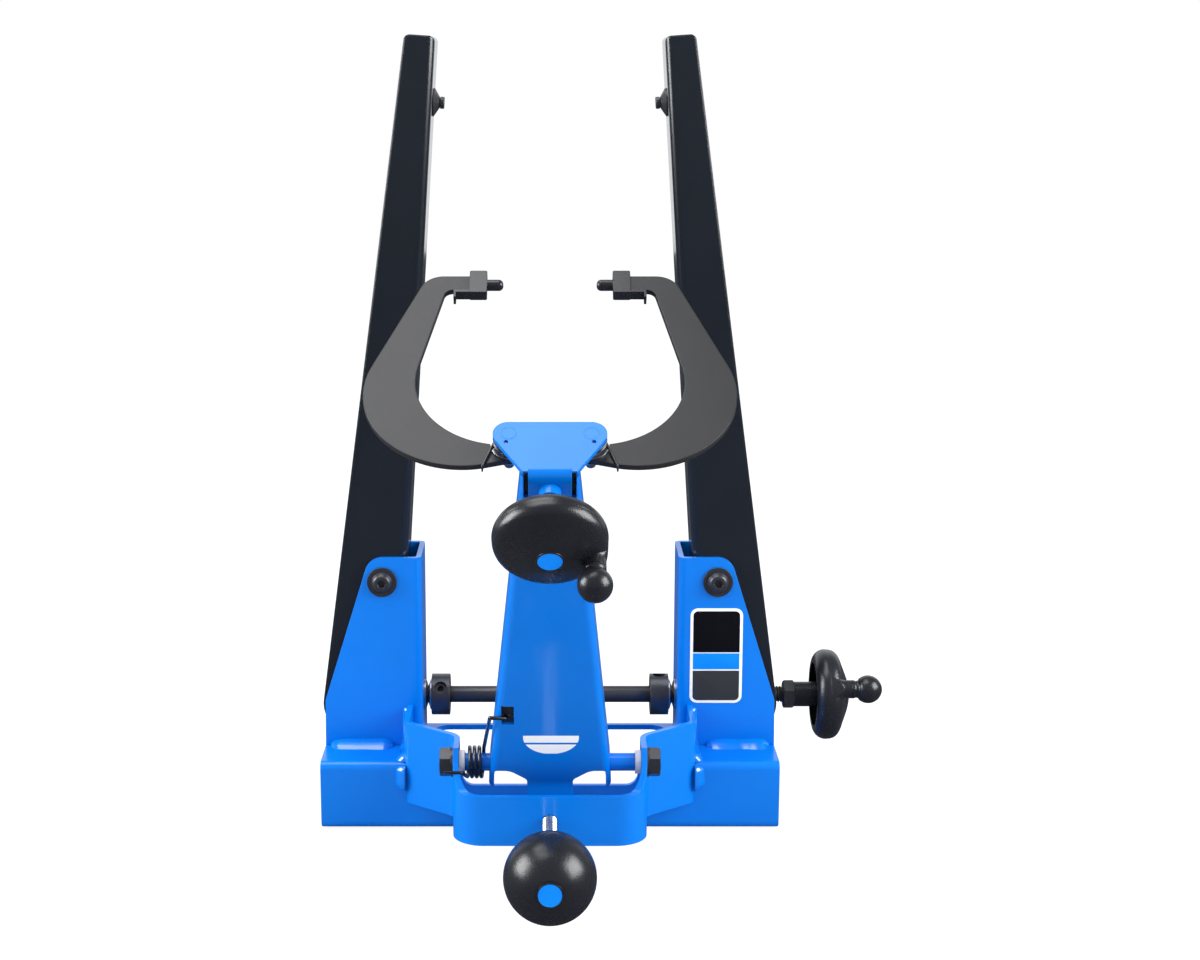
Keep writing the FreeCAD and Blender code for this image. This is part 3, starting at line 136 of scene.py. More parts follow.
class Bench:
    """One material's node tree and the single way to add nodes to it."""

    def __init__(self, tree: bpy.types.NodeTree) -> None:
        """Starts with an empty tree.

        Args:
            tree: Tree of a material or world.
        """
        self.tree = tree
        tree.nodes.clear()

    def add(
        self, kind: str, settings: dict[str, object] | None = None,
        inputs: dict[int | str, Value] | None = None, output: int = 0,
    ) -> Signal:
        """Adds a node.

        Args:
            kind: Node type.
            settings: Attributes of the node, set first.
            inputs: Values or signals by socket index or name.
            output: Index of the output that is returned.

        Returns:
            The node's output.
        """
        node = self.tree.nodes.new(kind)
        for key, value in (settings or {}).items():
            setattr(node, key, value)
        for key, value in (inputs or {}).items():
            socket = node.inputs[key]
            if isinstance(value, Signal):
                self.tree.links.new(value.socket, socket)
            elif isinstance(value, tuple) and len(value) == 3 and socket.type == "RGBA":
                socket.default_value = (*value, 1.0)
            else:
                socket.default_value = value
        outputs = [socket for socket in node.outputs if socket.enabled]
        return Signal(self, outputs[output] if outputs else None)

    def ray(self, ray: Ray) -> Signal:
        """1 for light paths of a kind and 0 for the others."""
        return self.add("ShaderNodeLightPath", output=ray.value)

    def grain(self, scale: float, detail: float = 2.0, stretch: Place = (1.0, 1.0, 1.0)) -> Signal:
        """Noise over the surface in the piece's own metres.

        Args:
            scale: Cells in a metre.
            detail: Octaves of finer noise.
            stretch: Scale along each axis.

        Returns:
            Noise from 0 to 1.
        """
        where = self.add("ShaderNodeTexCoord", output=3)
        where = self.add("ShaderNodeVectorMath", {"operation": "MULTIPLY"}, {0: where, 1: stretch})
        return self.add("ShaderNodeTexNoise", {}, {"Vector": where, "Scale": scale, "Detail": detail})

    def mix(self, share: Value, low: Value, high: Value) -> Signal:
        """Colour between two; a share of 0 gives low and 1 gives high."""
        return self.add("ShaderNodeMix", {"data_type": "RGBA"}, {0: share, 6: low, 7: high})


# Finishes


@dataclass(frozen=True)
class Finish:
    """A plain finish, and the hooks that richer ones fill in.

    Attributes:
        title: Name of the material.
        colour: Linear base colour.
        roughness: Base roughness.
        metallic: 1 for bare metal.
        shine: Strength of the plain reflection, 0.5 for ordinary lacquer.
        coat: Weight of the clear top layer.
        coat_roughness: Roughness of that layer.
        edge: Radius in millimetres by which edges look rounded.
        relief: Height in millimetres of the surface texture.
        pitch: Texture cells in a metre.
    """

    title: str
    colour: Colour
    roughness: float
    metallic: float = 0.0
    shine: float = 0.4
    coat: float = 0.0
    coat_roughness: float = 0.08
    edge: float = 0.3
    relief: float = 0.01
    pitch: float = 900.0

    BEVEL_SAMPLES = 6
    WORN_FROM, WORN_FULL = 0.02, 0.3  # Fall of the rounded normal from the flat one.

    def shade(self, factor: float, lift: float = 0.0) -> Colour:
        """The finish's colour times a factor, and no brighter than white."""
        return tuple(min(1.0, value * factor + lift) for value in self.colour)

    def tint(self, bench: Bench, worn: Signal) -> Value:
        """Colour over the surface; worn is 1 on sharp edges and 0 elsewhere, and is not used here."""
        return bench.mix(bench.grain(60.0, detail=3.0), self.shade(0.9), self.shade(1.1))

    def sheen(self, bench: Bench) -> Signal:
        """Roughness over the surface, around the finish's own."""
        return bench.grain(self.pitch / 5, 3.0) * 0.08 + (self.roughness - 0.04)

    def height(self, bench: Bench) -> Signal:
        """Surface texture, from 0 to 1."""
        return bench.grain(self.pitch, 3.0)

    def material(self) -> bpy.types.Material:
        """Makes the finish's material the first time and finds it afterwards.

        Returns:
            The material.
        """
        known = bpy.data.materials.get(self.title)
        if known is not None and known.get("stand_finish"):
            return known
        made = bpy.data.materials.new(self.title)
        made["stand_finish"] = True
        made.use_nodes = True
        bench = Bench(made.node_tree)
        soft = bench.add("ShaderNodeBevel", {"samples": self.BEVEL_SAMPLES}, {"Radius": self.edge * MM})
        flat = bench.add("ShaderNodeNewGeometry", output=1)
        facing = bench.add("ShaderNodeVectorMath", {"operation": "DOT_PRODUCT"}, {0: soft, 1: flat}, 0)
        worn = (1.0 - facing).between(self.WORN_FROM, self.WORN_FULL)
        bump = bench.add(
            "ShaderNodeBump", {},
            {"Strength": 1.0, "Distance": self.relief * MM, "Height": self.height(bench), "Normal": soft},
        )
        shader = bench.add(
            "ShaderNodeBsdfPrincipled", {},
            {
                "Base Color": self.tint(bench, worn), "Roughness": self.sheen(bench),
                "Metallic": self.metallic, "Specular IOR Level": self.shine, "Coat Weight": self.coat,
                "Coat Roughness": self.coat_roughness, "Normal": bump,
            },
        )
        bench.add("ShaderNodeOutputMaterial", {}, {"Surface": shader})
        return made


class GlossPaint(Finish):
    """Thick powder coat with a shallow orange peel, thinner and lighter over sharp edges."""

    def tint(self, bench: Bench, worn: Signal) -> Value:
        """Colour that drifts a little and lightens where the coat thins over an edge."""
        cloud = bench.mix(bench.grain(25.0), self.shade(0.93), self.shade(1.05))
        return bench.mix(worn * 0.5, cloud, self.shade(1.15, lift=0.03))

    def height(self, bench: Bench) -> Signal:
        """Orange peel in two sizes."""
        return bench.grain(self.pitch, 1.0) + bench.grain(self.pitch * 3, 2.0) * 0.15


class SatinPaint(Finish):
    """Fine-grained satin paint that catches more light along its edges."""

    def tint(self, bench: Bench, worn: Signal) -> Value:
        """Near black with a faint cloud and rubbed edges."""
        cloud = bench.mix(bench.grain(30.0, detail=4.0), self.shade(0.85), self.shade(1.2))
        return bench.mix(worn * 0.6, cloud, self.shade(2.2))


class MouldedPlastic(Finish):
    """Moulded plastic with a pebbled skin, smoother where hands polish it."""

    def height(self, bench: Bench) -> Signal:
        """Round pebbles of uneven size."""
        where = bench.add("ShaderNodeTexCoord", output=3)
        settings = {"feature": "SMOOTH_F1"}
        cells = bench.add("ShaderNodeTexVoronoi", settings, {"Vector": where, "Scale": self.pitch})
        return (1.0 - cells) + bench.grain(self.pitch * 2, 2.0) * 0.4

    def sheen(self, bench: Bench) -> Signal:
        """Handled patches shine a little more than the rest."""
        return bench.grain(45.0, 3.0) * 0.16 + bench.grain(700.0) * 0.06 + (self.roughness - 0.11)


class Steel(Finish):
    """Bare or plated steel with drawn lines, duller in patches."""

    def tint(self, bench: Bench, worn: Signal) -> Value:
        """Plating with slightly darker patches and bright edges."""
        patches = bench.mix(bench.grain(120.0, detail=4.0), self.shade(0.78), self.colour)
        return bench.mix(worn * 0.7, patches, self.shade(1.25, lift=0.02))

    def sheen(self, bench: Bench) -> Signal:
        """Fine scratches in the plating."""
        lines = bench.grain(150.0, detail=4.0, stretch=(1.0, 12.0, 12.0))
        return lines * 0.14 + bench.grain(200.0) * 0.06 + (self.roughness - 0.1)


STAND_BLUE = (0.0, 0.16, 0.64)
BLUE = GlossPaint(
    "blue_powder_coat", STAND_BLUE, 0.3, shine=0.1, coat=0.55, coat_roughness=0.15,
    edge=0.7, relief=0.03, pitch=260.0,
)
LUMPY_BLUE = GlossPaint(
    "blue_powder_coat_on_weld", STAND_BLUE, 0.16, shine=0.5, coat=1.0, edge=0.2, relief=0.004, pitch=300.0
)
UPRIGHT_BLACK = SatinPaint(
    "black_satin_paint", (0.008, 0.0105, 0.015), 0.2, shine=0.5, coat=0.4, coat_roughness=0.1,
    edge=2.6, relief=0.01, pitch=1500.0,
)
CALIPER_BLACK = SatinPaint(
    "black_grained_paint", (0.018, 0.018, 0.019), 0.36, shine=0.4, edge=0.9, relief=0.03, pitch=1400.0
)
KNOB_PLASTIC = MouldedPlastic(
    "black_pebbled_plastic", (0.01, 0.011, 0.014), 0.27, shine=0.55, edge=0.4, relief=0.06, pitch=1300.0
)
TIP_PLASTIC = MouldedPlastic(
    "black_smooth_plastic", (0.012, 0.012, 0.014), 0.26, shine=0.5, edge=0.4, relief=0.01, pitch=2200.0
)
ZINC = Steel("zinc_plate", (0.6, 0.61, 0.62), 0.3, metallic=1.0, edge=0.25, relief=0.006)
BLACK_OXIDE = Steel("black_oxide", (0.1, 0.1, 0.108), 0.36, metallic=0.8, edge=0.3, relief=0.008)
CHROME = Steel("chrome_plate", (0.83, 0.84, 0.86), 0.18, metallic=1.0, edge=0.2, relief=0.002)
NYLON = Finish("white_nylon", (0.8, 0.8, 0.78), 0.42, edge=0.4, relief=0.01)
SPRING_WIRE = Steel(
    "black_spring_wire", (0.012, 0.012, 0.014), 0.2, metallic=0.3, shine=0.6, coat=1.0,
    edge=0.1, relief=0.004,
)
GREY_WIRE = Steel(
    "grey_spring_wire", (0.09, 0.09, 0.092), 0.24, metallic=0.7, shine=0.6, edge=0.1, relief=0.004
)
FOIL_SILVER = Steel("silver_foil", (0.95, 0.95, 0.96), 0.3, metallic=0.05, edge=0.2, relief=0.004)
FOIL_BLACK = Finish("black_print", (0.003, 0.003, 0.005), 0.2, shine=0.3, edge=0.1, relief=0.004)
FOIL_BLUE = Finish("blue_print", (0.0, 0.21, 0.8), 0.2, shine=0.2, edge=0.1, relief=0.004)
FOIL_GREY = Finish("grey_print", (0.03, 0.032, 0.036), 0.2, shine=0.3, edge=0.1, relief=0.004)
DECAL_WHITE = Finish("white_print", (0.94, 0.95, 0.96), 0.35, shine=0.3, edge=0.1, relief=0.004)


class Slot(Enum):
    """Material slots of the record, with the finish that each gets here."""

    BLUE_PAINT = ("blue_paint", BLUE)
    BLACK_PAINT = ("black_paint", UPRIGHT_BLACK)
    ZINC_STEEL = ("zinc_steel", ZINC)
    BLACK_OXIDE = ("black_oxide", BLACK_OXIDE)
    CHROME_PLATE = ("chrome_plate", CHROME)
    BLACK_PLASTIC = ("black_plastic", KNOB_PLASTIC)
    NYLON = ("nylon", NYLON)
    SPRING_STEEL = ("spring_steel", SPRING_WIRE)

    @property
    def slot(self) -> str:
        """Name of the slot in the record."""
        return self.value[0]

    @property
    def finish(self) -> Finish:
        """Finish that the slot gets."""
        return self.value[1]


# Places and outlines


class Side(Enum):
    """The two sides of the stand, as seen from the front."""

    RIGHT = "right"
    LEFT = "left"


@dataclass(frozen=True)
class Seat:
    """A place with its own axes, in millimetres of the stand's frame."""

    origin: Vector
    x_axis: Vector
    y_axis: Vector
    z_axis: Vector

    def at(self, x: float, y: float, z: float) -> Vector:
        """Point given by this seat's own coordinates."""
        return self.origin + self.x_axis * x + self.y_axis * y + self.z_axis * z

    def moved(self, x: float, y: float, z: float) -> Seat:
        """The same axes at another point of this seat."""
        return Seat(self.at(x, y, z), self.x_axis, self.y_axis, self.z_axis)

    def front(self) -> Seat:
        """The same point with X across and Z towards the viewer."""
        return self.facing((1, 0, 0), (0, -1, 0))

    def facing(self, x_axis: Place, z_axis: Place) -> Seat:
        """The same point with axes given in this seat's directions.

        Args:
            x_axis: New first axis.
            z_axis: New third axis.

        Returns:
            The turned seat.
        """
        first = self.at(*x_axis) - self.origin
        third = self.at(*z_axis) - self.origin
        return Seat(self.origin, first, third.cross(first), third)


WORLD = Seat(Vector((0, 0, 0)), Vector((1, 0, 0)), Vector((0, 1, 0)), Vector((0, 0, 1)))


def leaning(origin: Place, degrees: float) -> Seat:
    """Seat at a point, with its Y and Z tipped about X."""
    turn = Matrix.Rotation(math.radians(degrees), 3, "X")
    return Seat(Vector(origin), turn.col[0].copy(), turn.col[1].copy(), turn.col[2].copy())


ARM_LEAN = 36.0
ARM = leaning((0.0, -88.2, 62.0), ARM_LEAN)


def rounded(corners: Sequence[Corner], closed: bool = False) -> list[Flat]:
    """Outline with its corners rounded.

    Args:
        corners: Points (a, b, radius).
        closed: Whether the last joins the first.

    Returns:
        Points along the outline.
    """
    points = [Vector((a, b)) for a, b, _ in corners]
    path: list[Flat] = []
    for index, (point, (_, _, radius)) in enumerate(zip(points, corners)):
        end = index in (0, len(points) - 1)
        if radius <= 0 or (end and not closed):
            path.append((point.x, point.y))
            continue
        before = (points[index - 1] - point).normalized()
        after = (points[(index + 1) % len(points)] - point).normalized()
        half = before.angle(after) / 2
        centre = point + (before + after).normalized() * (radius / math.sin(half))
        start = point + before * (radius / math.tan(half)) - centre
        sweep = start.angle_signed(point + after * (radius / math.tan(half)) - centre)
        for step in range(ARC_STEPS + 1):
            spoke = start.copy()
            spoke.rotate(Matrix.Rotation(-sweep * step / ARC_STEPS, 2))
            path.append((centre.x + spoke.x, centre.y + spoke.y))
    return path


def filleted(points: Sequence[Vector], radius: float) -> list[Vector]:
    """Path in space with its inner corners rounded.

    Args:
        points: Corners of the path.
        radius: Bend radius.

    Returns:
        Points along the path.
    """
    path = [points[0].copy()]
    for before, point, after in zip(points, points[1:], points[2:]):
        back, ahead = (before - point).normalized(), (after - point).normalized()
        half = back.angle(ahead) / 2
        reach = radius / math.tan(half)
        centre = point + (back + ahead).normalized() * (radius / math.sin(half))
        first, last = point + back * reach - centre, point + ahead * reach - centre
        for step in range(ARC_STEPS + 1):
            path.append(centre + first.slerp(last, step / ARC_STEPS))
    path.append(points[-1].copy())
    return path


# Meshes


class Draft:
    """A mesh in the making, in millimetres of the stand's frame."""

    BEVEL_SHARES = (0.0, 0.3, 0.7, 1.0)  # Rings of a rim, as shares of its quarter turn.
    THREAD_ROWS = 8  # Rings in a turn of thread.
    THREAD_LEAD = 0.35  # Share of its depth that a thread has at its ends.
    FLANK_SLOPE, FLANK_DROP = 1.6, 0.3  # Steepness of the flanks, and their fall below the root.

    def __init__(self) -> None:
        """Starts empty."""
        self.points: list[Vector] = []
        self.faces: list[tuple[int, ...]] = []
        self.marks: list[int] = []

    def loft(self, rings: Sequence[Sequence[Vector]], mark: int = 0) -> Draft:
        """Skins a row of closed rings of equal length and caps its ends.

        Args:
            rings: Points of each ring.
            mark: Index of the finish.

        Returns:
            This draft.
        """
        start, count = len(self.points), len(rings[0])
        for ring in rings:
            self.points.extend(ring)
        for row in range(len(rings) - 1):
            low, high = start + row * count, start + (row + 1) * count
            for step in range(count):
                following = (step + 1) % count
                self.faces.append((low + step, low + following, high + following, high + step))
                self.marks.append(mark)
        top = start + (len(rings) - 1) * count
        self.faces.append(tuple(range(start + count - 1, start - 1, -1)))
        self.faces.append(tuple(range(top, top + count)))
        self.marks += [mark, mark]
        return self

    def turn(self, seat: Seat, profile: Sequence[Flat], sides: int = 48, mark: int = 0) -> Draft:
        """Turns a profile about a seat's Z.

        Args:
            seat: Place and axis.
            profile: Points (radius, height); a radius near 0 closes an end.
            sides: Facets around.
            mark: Index of the finish.

        Returns:
            This draft.
        """
        rings = []
        for radius, height in profile:
            reach = max(radius, NEAR_AXIS)
            rings.append([seat.at(reach * a, reach * b, height) for a, b in circle(sides)])
        return self.loft(rings, mark)

    def tube(self, path: Sequence[Vector], radius: Callable[[float], float], sides: int = 14) -> Draft:
        """Sweeps a round section along a path.

        Args:
            path: Points of the centreline.
            radius: Radius at a share of the path, from 0 to 1.
            sides: Facets around.

        Returns:
            This draft.
        """
        rings = []
        side = None
        for index, point in enumerate(path):
            ahead = (path[min(index + 1, len(path) - 1)] - path[max(index - 1, 0)]).normalized()
            if side is None:
                side = ahead.orthogonal().normalized()
            side = (side - ahead * side.dot(ahead)).normalized()
            up = ahead.cross(side)
            reach = radius(index / (len(path) - 1))
            rings.append([point + side * (reach * a) + up * (reach * b) for a, b in circle(sides)])
        return self.loft(rings)

    def slab(
        self, seat: Seat, outline: Sequence[Flat], low: float, high: float, bevel: float = 0.0, mark: int = 0
    ) -> Draft:
        """Flat piece of an outline, with a bevelled top rim.

        Args:
            seat: Place whose X and Y carry the outline.
            outline: Points of the outline, anticlockwise.
            low: Height of its underside.
            high: Height of its top.
            bevel: Width of the bevel.
            mark: Index of the finish.

        Returns:
            This draft.
        """
        rings = [[seat.at(a, b, low) for a, b in outline]]
        for share in self.BEVEL_SHARES if bevel else (1.0,):
            inset = bevel * (1 - math.cos(share * math.pi / 2))
            rise = high - bevel * (1 - math.sin(share * math.pi / 2))
            rings.append([seat.at(a, b, rise) for a, b in inward(outline, inset)])
        return self.loft(rings, mark)

    def thread(
        self, seat: Seat, crest: float, root: float, pitch: float, length: float,
        hand: int = 1, sides: int = 36,
    ) -> Draft:
        """Screw thread about a seat's Z, its ends tapered.

        Args:
            seat: Start and axis.
            crest: Outer radius.
            root: Radius at the bottom of the groove.
            pitch: Rise in a turn.
            length: Length of the thread.
            hand: 1 for a right-hand thread and -1 for a left-hand one.
            sides: Facets around.

        Returns:
            This draft.
        """
        rows = max(self.THREAD_ROWS, round(length / pitch * self.THREAD_ROWS))
        rings = []
        for row in range(rows + 1):
            height = length * row / rows
            end = min(height, length - height) / pitch
            reach = root + (crest - root) * min(1.0, self.THREAD_LEAD + end)
            ring = []
            for side, (a, b) in enumerate(circle(sides)):
                phase = (height / pitch - hand * side / sides) % 1.0
                wave = self.FLANK_SLOPE * (1 - abs(2 * phase - 1)) - self.FLANK_DROP
                depth = root + (reach - root) * min(1.0, max(0.0, wave))
                ring.append(seat.at(depth * a, depth * b, height))
            rings.append(ring)
        return self.loft(rings)

    def on(self, side: Side) -> Draft:
        """This mesh of the right side, or its mirror image for the left."""
        if side is Side.RIGHT:
            return self
        other = Draft()
        other.points = [Vector((-p.x, p.y, p.z)) for p in self.points]
        other.faces = [tuple(reversed(face)) for face in self.faces]
        other.marks = list(self.marks)
        return other

    def piece(self, name: str, finishes: Sequence[Finish]) -> bpy.types.Object:
        """Makes the object.

        Args:
            name: Name of the piece.
            finishes: Finishes by index.

        Returns:
            The object, at the frame's origin.
        """
        mesh = bpy.data.meshes.new(name)
        mesh.from_pydata([point * MM for point in self.points], [], self.faces)
        for finish in finishes:
            mesh.materials.append(finish.material())
        mesh.polygons.foreach_set("material_index", self.marks)
        mesh.shade_smooth()
        mesh.set_sharp_from_angle(angle=math.radians(CREASE))
        mesh.update()
        made = bpy.data.objects.new(name, mesh)
        bpy.context.scene.collection.objects.link(made)
        return made


def circle(sides: int) -> list[Flat]:
    """Points of a circle of radius 1."""
    angles = [FULL_TURN * side / sides for side in range(sides)]
    return [(math.cos(angle), math.sin(angle)) for angle in angles]


def inward(outline: Sequence[Flat], distance: float) -> list[Flat]:
    """Closed anticlockwise outline moved in by a distance.

    Args:
        outline: Its points.
        distance: How far each side moves.

    Returns:
        The moved points.
    """
    if distance == 0:
        return list(outline)
    moved = []
    for index, point in enumerate(outline):
        here = Vector(point)
        before = (here - Vector(outline[index - 1])).normalized()
        after = (Vector(outline[(index + 1) % len(outline)]) - here).normalized()
        left = Vector((-before.y - after.y, before.x + after.x)).normalized()
        share = max(SHARPEST, left.dot(Vector((-before.y, before.x))))
        moved.append((here.x + left.x * distance / share, here.y + left.y * distance / share))
    return moved


def rectangle(left: float, low: float, right: float, high: float, radius: float) -> list[Flat]:
    """Outline of a rectangle with rounded corners, anticlockwise."""
    places = ((left, low), (right, low), (right, high), (left, high))
    return rounded([(*place, radius) for place in places], closed=True)


def add(
    draft: Draft, name: str, body: str, slot: Slot,
    finishes: Sequence[Finish] = (), replaces: Sequence[str] = (),
) -> None:
    """Turns a draft into a piece that rides on a body.

    Args:
        draft: The mesh.
        name: Name of the piece.
        body: Body that carries it.
        slot: Record slot of its finish.
        finishes: Finishes by index, or the slot's own.
        replaces: Nodes that it stands for.
    """
    made = draft.piece(name, finishes or (slot.finish,))
    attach(made, body)
    if replaces:
        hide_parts(*replaces)
    LOG.info("piece %s on %s", name, body)


def dress(nodes: Nodes, finish: Finish, *names: str) -> None:
    """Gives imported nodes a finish.

    Args:
        nodes: The frame's nodes.
        finish: Finish for all of them.
        names: Names of the nodes.
    """
    for name in names:
        for slot in nodes[name].material_slots:
            slot.material = finish.material()
        LOG.info("node %s in %s", name, finish.title)


# Sub-assemblies


@dataclass
class Weldment:
    """Deck, nose strap and brackets, with their weld beads and the plate on the right bracket.

    Attributes:
        leg_x: Outer face of the strap's legs.
        flange_y: Front face of the brackets.
        deck_y: Front face of the deck.
        deck_top: Top of the deck.
        strap_top: Top of the strap.
        plate_low: Lower left corner of the plate, across and up.
        plate_high: Upper right corner of the plate.
        plate_corner: Corner radius of the plate.
        plate_thick: Its thickness.
        rim: Width of its bright rim.
        panel_corner: Radius of the panels' outer corners.
        panel_notch: Radius of the corners between panels.
        panels: Start and end of each panel as shares of the height within the rim.
    """

    leg_x: float = 94.9
    flange_y: float = -7.4
    deck_y: float = -43.2
    deck_top: float = 45.3
    strap_top: float = 73.3
    plate_low: Flat = (92.9, 74.8)
    plate_high: Flat = (127.6, 139.9)
    plate_corner: float = 5.0
    plate_thick: float = 0.35
    rim: float = 1.9
    panel_corner: float = 3.1
    panel_notch: float = 0.25
    panels: tuple[Flat, ...] = ((0.54, 1.0), (0.35, 0.53), (0.0, 0.335))

    BEAD_STEP = 0.4  # Length of one row of a bead.
    BEAD_SINK = 0.4  # How far a bead reaches into its walls.
    BEAD_PARTS = 8  # Facets across its face.
    LUMP_LENGTH, LUMP_SEED, LUMP_SIZE = 14, 3.7, 0.12  # Spacing, shift with the seed and share of the size.
    END_SIZE = 0.02  # Share of the size that is left at an end.
    SWELL, SWELL_SPREAD = 0.62, 0.25  # Height of the face over its chord, and its unevenness.
    OTHER_SIDE = 11  # Added to the seed on the left.

    def bead(self, start: Place, end: Place, walls: Sequence[Place], legs: Flat, seed: int) -> Draft:
        """A fillet weld in the corner between two walls.

        Args:
            start: Where it begins.
            end: Where it ends.
            walls: Directions in which the two walls leave the corner.
            legs: How far the bead climbs along each.
            seed: Seed of its unevenness.

        Returns:
            The mesh.
        """
        first, last = Vector(start), Vector(end)
        one, other = Vector(walls[0]), Vector(walls[1])
        length = (last - first).length
        count = round(length / self.BEAD_STEP)
        outward = (one * legs[1] + other * legs[0]).normalized()
        rings = []
        for step in range(count + 1):
            along = length * step / count
            nearest = min(along, length - along) / max(legs)
            taper = math.sqrt(1 - (1 - min(1.0, nearest)) ** 2)
            lump = noise.noise(Vector((along / self.LUMP_LENGTH, seed * self.LUMP_SEED, 0)))
            size = taper * (1 + self.LUMP_SIZE * lump) + self.END_SIZE
            swell = self.SWELL + self.SWELL_SPREAD * lump
            climb, reach = one * (legs[0] * size), other * (legs[1] * size)
            under, behind = one * self.BEAD_SINK, other * self.BEAD_SINK
            point = first.lerp(last, step / count)
            ring = [point - under - behind, point + reach - under]
            for part in range(self.BEAD_PARTS + 1):
                share = part / self.BEAD_PARTS
                bulge = outward * (swell * taper * math.sin(math.pi * share))
                ring.append(point + reach.lerp(climb, share) + bulge)
            ring.append(point + climb - behind)
            rings.append(ring)
        return Draft().loft(rings)

    def weld(self) -> None:
        """Lays the beads on both sides, each with its start, end, walls and legs."""
        x, y, front, top = self.leg_x, self.flange_y, self.deck_y, self.deck_top
        up, out, ahead = (0, 0, 1), (1, 0, 0), (0, -1, 0)
        runs = {
            "weld_foot": ((x + 52, y, top), (x + 9, y, top), (up, ahead), (4.4, 8.6)),
            "weld_leg_back": ((x, y, self.strap_top - 1.0), (x, y, top), (out, ahead), (3.4, 3.4)),
            "weld_leg_foot": ((x, y, top), (x, front + 2, top), (up, out), (5.0, 5.6)),
            "weld_leg_front": ((x, front, top - 1.5), (x, front, 26.5), (out, ahead), (5.8, 4.4)),
        }
        for index, (name, run) in enumerate(runs.items()):
            for side, seed in ((Side.RIGHT, index), (Side.LEFT, index + self.OTHER_SIDE)):
                bead = self.bead(*run, seed).on(side)
                add(bead, f"{name}_{side.value}", "stand", Slot.BLUE_PAINT, (LUMPY_BLUE,))

    def plate(self) -> None:
        """Bare plate on the right bracket: a bright rim around three plain panels."""
        seat = WORLD.moved(0, self.flange_y, 0).front()
        (left, low), (right, high) = self.plate_low, self.plate_high
        draft = Draft()
        outline = rectangle(left, low, right, high, self.plate_corner)
        draft.slab(seat, outline, 0.0, self.plate_thick, bevel=0.2)
        left, right = left + self.rim, right - self.rim
        tall = high - low - 2 * self.rim
        for mark, (start, end) in enumerate(self.panels, 1):
            bottom, top = (low + self.rim + tall * share for share in (start, end))
            below = self.panel_corner if start == 0.0 else self.panel_notch
            above = self.panel_corner if end == 1.0 else self.panel_notch
            places = ((left, bottom, below), (right, bottom, below), (right, top, above), (left, top, above))
            draft.slab(seat, rounded(places, closed=True), 0.3, 0.42, bevel=0.05, mark=mark)
        finishes = (FOIL_SILVER, FOIL_BLACK, FOIL_BLUE, FOIL_GREY)
        add(draft, "bracket_plate", "stand", Slot.ZINC_STEEL, finishes)

    def make(self, nodes: Nodes) -> None:
        """Dresses the nodes and adds the pieces."""
        dress(nodes, BLUE, "base_deck", "nose_strap", "bracket_left", "bracket_right", "height_nut")
        self.weld()
        self.plate()


@dataclass
class UprightPair:
    """Uprights with their axle cones, on their pivots.

    Attributes:
        pivot: Right pivot, half way through the bracket.
        lean: Lean of the uprights in degrees.
        tail_y: Where the pivot bolt's thread starts, inside its nut.
        cone_up: Height of the cones above the pivots.
        cone_in: How far in from the pivots' plane the cones stand.
        stud_out: Where a cone's stud leaves its nut, outwards from there.
        bolt: Outer radius, root radius and pitch of the bolts' threads.
        stud: The same of the cones' studs.
    """

    pivot: Place = (110.6, 17.9, 157.8)
    lean: float = 3.75
    tail_y: float = 52.3
    cone_up: float = 311.9
    cone_in: float = 15.5
    stud_out: float = 9.4
    bolt: ThreadForm = (4.12, 3.6, 1.25)
    stud: ThreadForm = (4.1, 3.6, 1.25)

    def threads(self) -> None:
        """Thread ends of the pivot bolts and cone studs."""
        x, _, z = self.pivot
        seat = WORLD.moved(x, self.tail_y, z).facing((1, 0, 0), (0, 1, 0))
        bolt = Draft().thread(seat, *self.bolt, length=2.9)
        turn = Matrix.Rotation(math.radians(-self.lean), 3, "Y")
        out, up = turn @ Vector((1, 0, 0)), turn @ Vector((0, 0, 1))
        foot = Vector(self.pivot) - out * self.cone_in + up * self.cone_up
        tail = Seat(foot + out * self.stud_out, Vector((0, 1, 0)), up, out)
        stud = Draft().thread(tail, *self.stud, length=2.2)
        for side in Side:
            add(bolt.on(side), f"pivot_thread_{side.value}", "stand", Slot.BLACK_OXIDE)
        for side in Side:
            add(stud.on(side), f"cone_thread_{side.value}", f"{side.value}_upright", Slot.BLACK_OXIDE)

    def make(self, nodes: Nodes) -> None:
        """Dresses the nodes and adds the pieces."""
        dress(nodes, UPRIGHT_BLACK, "upright_left", "upright_right")
        dress(nodes, BLACK_OXIDE, "axle_cone_left", "axle_cone_right", "pivot_bolts", "pivot_washers")
        dress(nodes, ZINC, "cone_nut_left", "cone_nut_right", "pivot_nuts", "pivot_sleeves")
        dress(nodes, ZINC, "trunnion_left", "trunnion_right")
        dress(nodes, NYLON, "pivot_shims")
        self.threads()


